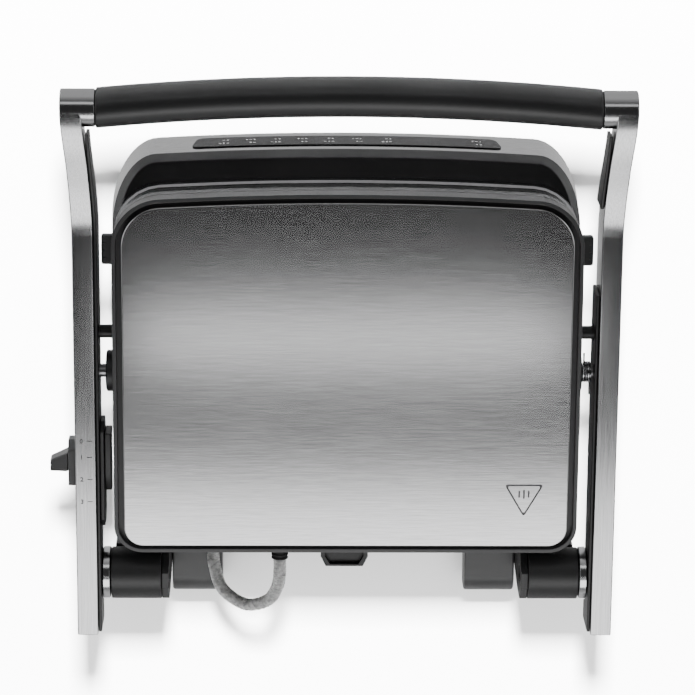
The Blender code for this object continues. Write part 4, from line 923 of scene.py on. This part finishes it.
def makeArmFittings():
    look = {"pinSoft": 0.5 * mm, "shaft": 6 * mm, "shaftSoft": 0.8 * mm}
    for side, sign in sides.items():
        makeArm(side, sign)
        makeCollar(side)
        liners = ["arm_liner_" + side] + (["arm_liner_front_left"] if sign < 0 else [])
        for liner in liners:
            done(copyOf(liner, liner.replace("arm_liner", "armLiner"), 0.4 * mm), "arms", "blackAbs",
                 [liner])
        low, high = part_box("pivot_pin_" + side)
        inner, outer = sorted((low.x, high.x), key=abs)
        radius, soft = (high.y - low.y) / 2, look["pinSoft"]
        pin = addTurned("pivotPin_" + side, (0, pivotY, pivotZ), "X",
                        [(inner, radius - soft), (inner + soft * sign, radius), (outer, radius)], 40)
        done(pin, "arms", "bareSteel", ["pivot_pin_" + side])
        low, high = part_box("hinge_shaft_" + side)
        inner, outer = sorted((low.x, high.x), key=abs)
        radius, soft = look["shaft"], look["shaftSoft"]
        shaft = addTurned("hingeShaft_" + side, (0, hingeY, hingeZ), "X",
                          [(inner, radius - soft), (inner + soft * sign, radius), (outer, radius)], 40)
        done(shaft, "arms", "bareSteel", ["hinge_shaft_" + side])
    done(copyOf("handle_rod", "handleRod"), "arms", "bareSteel", ["handle_rod"])
    done(copyOf("latch_housing", "latchHousing", 0.5 * mm), "arms", "blackAbs",
         ["latch_housing"])


def makeSlider():
    # the knob slants at its front, narrows outwards and has three grooves for the finger
    look = {"slant": 5.5 * mm, "narrow": 0.8, "edge": 1 * mm, "ridges": (0.3, 0.5, 0.7), "half": 0.6 * mm,
            "deep": 0.7 * mm, "topDeep": 0.6 * mm, "topFrom": 6.5 * mm, "past": 1 * mm}
    done(copyOf("slider_plate", "sliderPlate", 0.7 * mm, 3), "slider", "greyAbs",
         ["slider_plate"])
    done(copyOf("latch_cam", "latchCam", 0.6 * mm), "slider", "blackAbs", ["latch_cam"])
    low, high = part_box("slider_knob")
    past = look["past"]
    knob = addBlock("sliderKnob", low, high)
    pick(knob, "VERT", lambda at, out: at.x > high.x - past and at.y < low.y + past)
    bpy.ops.transform.translate(value=(0, look["slant"], 0))
    bpy.ops.object.mode_set(mode="OBJECT")
    pick(knob, "FACE", lambda at, out: out.x > 0.9)
    bpy.ops.transform.resize(value=(1, 1, look["narrow"]),
                             center_override=(high.x, low.y, (low.z + high.z) / 2))
    bpy.ops.object.mode_set(mode="OBJECT")
    rounded(knob, look["edge"], 3)
    for share in look["ridges"]:
        y = low.y + (high.y - low.y) * share
        for x, z in ((high.x - look["deep"], low.z - past),
                     (low.x + look["topFrom"], high.z - look["topDeep"])):
            cutBy(knob, addBlock("ridgeTool", (x, y - look["half"], z),
                                 (high.x + past, y + look["half"], high.z + past)))
    done(knob, "slider", "greyAbs", ["slider_knob"])


makeArmFittings()
makeGrip()
makeSpring()
makeArmMarks()
makeSlider()
print("arms made")


conduit = {"radius": 4.5 * mm, "strands": 8, "pitch": 12 * mm, "strandWidth": 1.7 * mm, "step": 0.7 * mm,
           "thick": 0.2 * mm, "wave": 0.28 * mm, "reach": 55.3 * mm, "baseZ": 44.5 * mm, "lidZ": 92 * mm,
           "coreInset": 0.75 * mm, "coreSides": 20}
coverRear = lidHigh.y
reachY = coverRear + conduit["reach"]
baseRear = baseHigh.y
exitBase, exitLid = (Vector((sum(corner.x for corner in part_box(node)) / 2, 0, conduit[height]))
                     for node, height in (("base_relief", "baseZ"), ("lid_relief", "lidZ")))


def conduitRoute():
    # out of the base wall, round in a standing loop and into the lid
    x, z = exitBase.x, exitBase.z
    lidX, lidZ = exitLid.x, exitLid.z
    return [Vector(place) for place in (
        (x, baseRear - 6.3 * mm, z), (x, baseRear + 6 * mm, z), (x, baseRear + 13 * mm, z),
        (x - 1 * mm, reachY - 23 * mm, z + 2 * mm), (x - 7 * mm, reachY - 8 * mm, z + 7 * mm),
        (x - 23 * mm, reachY, z + 15 * mm), (lidX + 8 * mm, reachY - 7 * mm, z + 25 * mm),
        (lidX + 1.5 * mm, reachY - 21 * mm, lidZ - 12 * mm), (lidX, coverRear + 21 * mm, lidZ - 3 * mm),
        (lidX, coverRear + 12 * mm, lidZ), (lidX, coverRear + 5 * mm, lidZ),
        (lidX, coverRear - 3 * mm, lidZ))]


def evenly(points, spacing):
    # evenly spread points on a smooth curve through the route's own
    ends = [2 * points[0] - points[1], *points, 2 * points[-1] - points[-2]]
    dense = []
    fine = 40
    for a, b, c, d in zip(ends, ends[1:], ends[2:], ends[3:]):
        for step in range(fine):
            t = step / fine
            dense.append(0.5 * (2 * b + (c - a) * t + (2 * a - 5 * b + 4 * c - d) * t ** 2
                                + (3 * b - a - 3 * c + d) * t ** 3))
    dense.append(points[-1])
    picked, travelled = [dense[0]], 0.0
    for a, b in zip(dense, dense[1:]):
        travelled += (b - a).length
        if travelled >= spacing:
            picked.append(b)
            travelled = 0.0
    return picked


def framesAlong(path):
    # two directions across the path at each point, carried along without twist
    frames = []
    across = Vector((0, 0, 1))
    for index, point in enumerate(path):
        along = (path[min(index + 1, len(path) - 1)] - path[max(index - 1, 0)]).normalized()
        across = (across - along * across.dot(along)).normalized()
        frames.append((point, across.copy(), along.cross(across)))
    return frames


def addStrands(name, frames, first, last):
    # the woven sleeve: flat strands wound both ways that pass over and under each other
    core = []
    vertices, faces = [], []

    def addStrip(rows):
        start = len(vertices)
        for row in rows:
            vertices.extend(row)
        width = len(rows[0])
        for index in range(len(rows) - 1):
            for part in range(width):
                a = start + index * width + part
                b = start + index * width + (part + 1) % width
                faces.append((a, b, b + width, a + width))
        faces.append(tuple(start + part for part in range(width))[::-1])
        faces.append(tuple(start + (len(rows) - 1) * width + part for part in range(width)))

    radius, count = conduit["radius"], conduit["coreSides"]
    coreRadius = radius - conduit["coreInset"]
    for index in range(first, last + 1):
        point, across, other = frames[index]
        core.append([point + (across * math.cos(turn) + other * math.sin(turn)) * coreRadius
                     for turn in (2 * math.pi * part / count for part in range(count))])
    addStrip(core)
    strands = conduit["strands"]
    for way in (1, -1):
        for strand in range(strands):
            rows = []
            for index in range(first, last + 1):
                point, across, other = frames[index]
                travel = index * conduit["step"]
                angle = 2 * math.pi * (strand / strands + way * travel / conduit["pitch"])
                crossing = 2 * math.pi * travel * strands / conduit["pitch"]
                wave = conduit["wave"] * way * math.cos(crossing + math.pi * strand)
                height = radius - conduit["thick"] - conduit["wave"] + wave
                outward = across * math.cos(angle) + other * math.sin(angle)
                sideways = other * math.cos(angle) - across * math.sin(angle)
                centre = point + outward * height
                half = conduit["strandWidth"] / 2
                thick = conduit["thick"]
                rows.append([centre + sideways * half, centre + outward * thick + sideways * half * 0.5,
                             centre + outward * thick - sideways * half * 0.5, centre - sideways * half,
                             centre - outward * thick])
            addStrip(rows)
    mesh = bpy.data.meshes.new(name)
    mesh.from_pydata(vertices, [], faces)
    piece = bpy.data.objects.new(name, mesh)
    bpy.context.scene.collection.objects.link(piece)
    pick(piece, "FACE", lambda at, out: True)
    return closeUp(piece)


def makeConduit():
    path = evenly(conduitRoute(), conduit["step"])
    frames = framesAlong(path)
    top = max(range(len(path)), key=lambda index: path[index].y)
    first = next(index for index in range(top, len(path)) if path[index].y < reachY - 3 * mm)
    second = next(index for index in range(first, len(path)) if path[index].y < coverRear + 26 * mm)
    lower = addStrands("braidAtBase", frames, 0, first)
    done(lower, "base", "glassBraid", ["conduit_base"], 50)
    loop = addStrands("braidLoop", frames, first, second)
    done(loop, None, "glassBraid", ["conduit_bend"], 50)
    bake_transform(loop)
    upper = addStrands("braidAtLid", frames, second, len(path) - 1)
    done(upper, None, "glassBraid", ["conduit_lid"], 50)
    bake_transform(upper)


makeConduit()
print("conduit made")


def addPanelLight(name, place, aim, size, power, tint="#FFFFFF"):
    light = bpy.data.lights.new(name, "AREA")
    light.shape = "RECTANGLE"
    light.size, light.size_y = size
    light.energy = power
    light.color = colour(tint)[:3]
    lamp = bpy.data.objects.new(name, light)
    lamp.location = place
    direction = Vector(place) - Vector(aim)
    if direction.xy.length > 0.001:
        lamp.rotation_euler = direction.to_track_quat("Z", "Y").to_euler()
    lamp.visible_camera = False
    bpy.context.scene.collection.objects.link(lamp)
    return lamp


def makeStudio():
    look = {"skyTop": 0.035, "skySide": 0.7, "paper": "#F2F2F2", "floorKey": 1600, "floorFill": 150}
    bpy.ops.object.select_all(action="DESELECT")
    bpy.ops.mesh.primitive_plane_add(size=6, location=(0, 0, 0))
    floor = named("studioFloor")
    floor.data.materials.append(startMaterial("whitePaperSweep", {
        "Base Color": colour(look["paper"]), "Roughness": 0.9, "Specular IOR Level": 0.1})[0])
    # the metals mirror the studio's walls, not the sheet of paper
    floor.visible_glossy = False
    # dark ceiling and pale walls; the camera itself sees white behind the paper
    world = bpy.data.worlds.new("studioRoom")
    world.use_nodes = True
    tree = world.node_tree
    back = tree.nodes["Background"]
    direction = addNode(tree, "TexCoord").outputs["Generated"]
    upwards = addNode(tree, "SeparateXYZ", links={0: direction}).outputs["Z"]
    wall = addNode(tree, "MapRange", inputs={1: 0.15, 2: 0.75, 3: look["skySide"], 4: look["skyTop"]},
                   links={0: upwards}).outputs[0]
    seen = addNode(tree, "LightPath").outputs["Is Camera Ray"]
    level = addNode(tree, "MapRange", inputs={4: 6.0}, links={0: seen, 3: wall}).outputs[0]
    tree.links.new(level, back.inputs[1])
    back.inputs[0].default_value = colour("#FFFFFF")
    bpy.context.scene.world = world
    # overhead boxes that the lid mirrors as bands, from dark at the handle to bright at the hinge
    addPanelLight("bandStrip", (-0.025, 0.192, 0.86), (-0.025, 0.192, 0), (0.4, 0.04), 0.165)
    addPanelLight("rearPanel", (0, 0.67, 0.86), (0, 0.67, 0), (0.9, 0.66), 6.3)
    # a box in front and one at each side, for the flanks
    addPanelLight("frontBox", (0, -1.1, 1.3), (0, -0.2, 0.1), (1.2, 0.3), 1.6)
    addPanelLight("leftBox", (-1.6, -0.3, 1.2), (0, 0, 0), (1.2, 1.6), 6)
    addPanelLight("rightBox", (1.6, -0.3, 1.2), (0, 0, 0), (1.2, 1.6), 6)
    # these two light the paper only, and the press throws its shadow towards its rear
    paperOnly = bpy.data.collections.new("paperOnly")
    paperOnly.objects.link(floor)
    for lamp in (addPanelLight("paperKey", (0, -1.8, 2.6), (0, 0, 0), (0.4, 0.5), look["floorKey"]),
                 addPanelLight("paperFill", (0, 0.2, 3.0), (0, 0, 0), (4.0, 4.0), look["floorFill"])):
        lamp.light_linking.receiver_collection = paperOnly
        lamp.visible_glossy = False


def makeCamera():
    view = {"up": 15.85, "turn": 1.168, "roll": 0.475, "distance": 2.1, "lens": 163.9,
            "target": Vector((-6.37, -12.38, 110)) * mm}
    tilt, turn, roll = (math.radians(view[key]) for key in ("up", "turn", "roll"))
    back = Vector((math.sin(turn) * math.cos(tilt), -math.sin(tilt), math.cos(turn) * math.cos(tilt)))
    right = (-back).cross(Vector((0, -1, 0))).normalized()
    above = right.cross(-back)
    right, above = (right * math.cos(roll) + above * math.sin(roll),
                    above * math.cos(roll) - right * math.sin(roll))
    lens = bpy.data.cameras.new("studioCamera")
    lens.lens = view["lens"]
    lens.sensor_width = 36
    lens.clip_end = 50
    camera = bpy.data.objects.new("studioCamera", lens)
    place = view["target"] + back * view["distance"]
    camera.matrix_world = Matrix(((right.x, above.x, back.x, place.x), (right.y, above.y, back.y, place.y),
                                  (right.z, above.z, back.z, place.z), (0, 0, 0, 1)))
    bpy.context.scene.collection.objects.link(camera)
    bpy.context.scene.camera = camera


makeStudio()
makeCamera()
print("studio set")
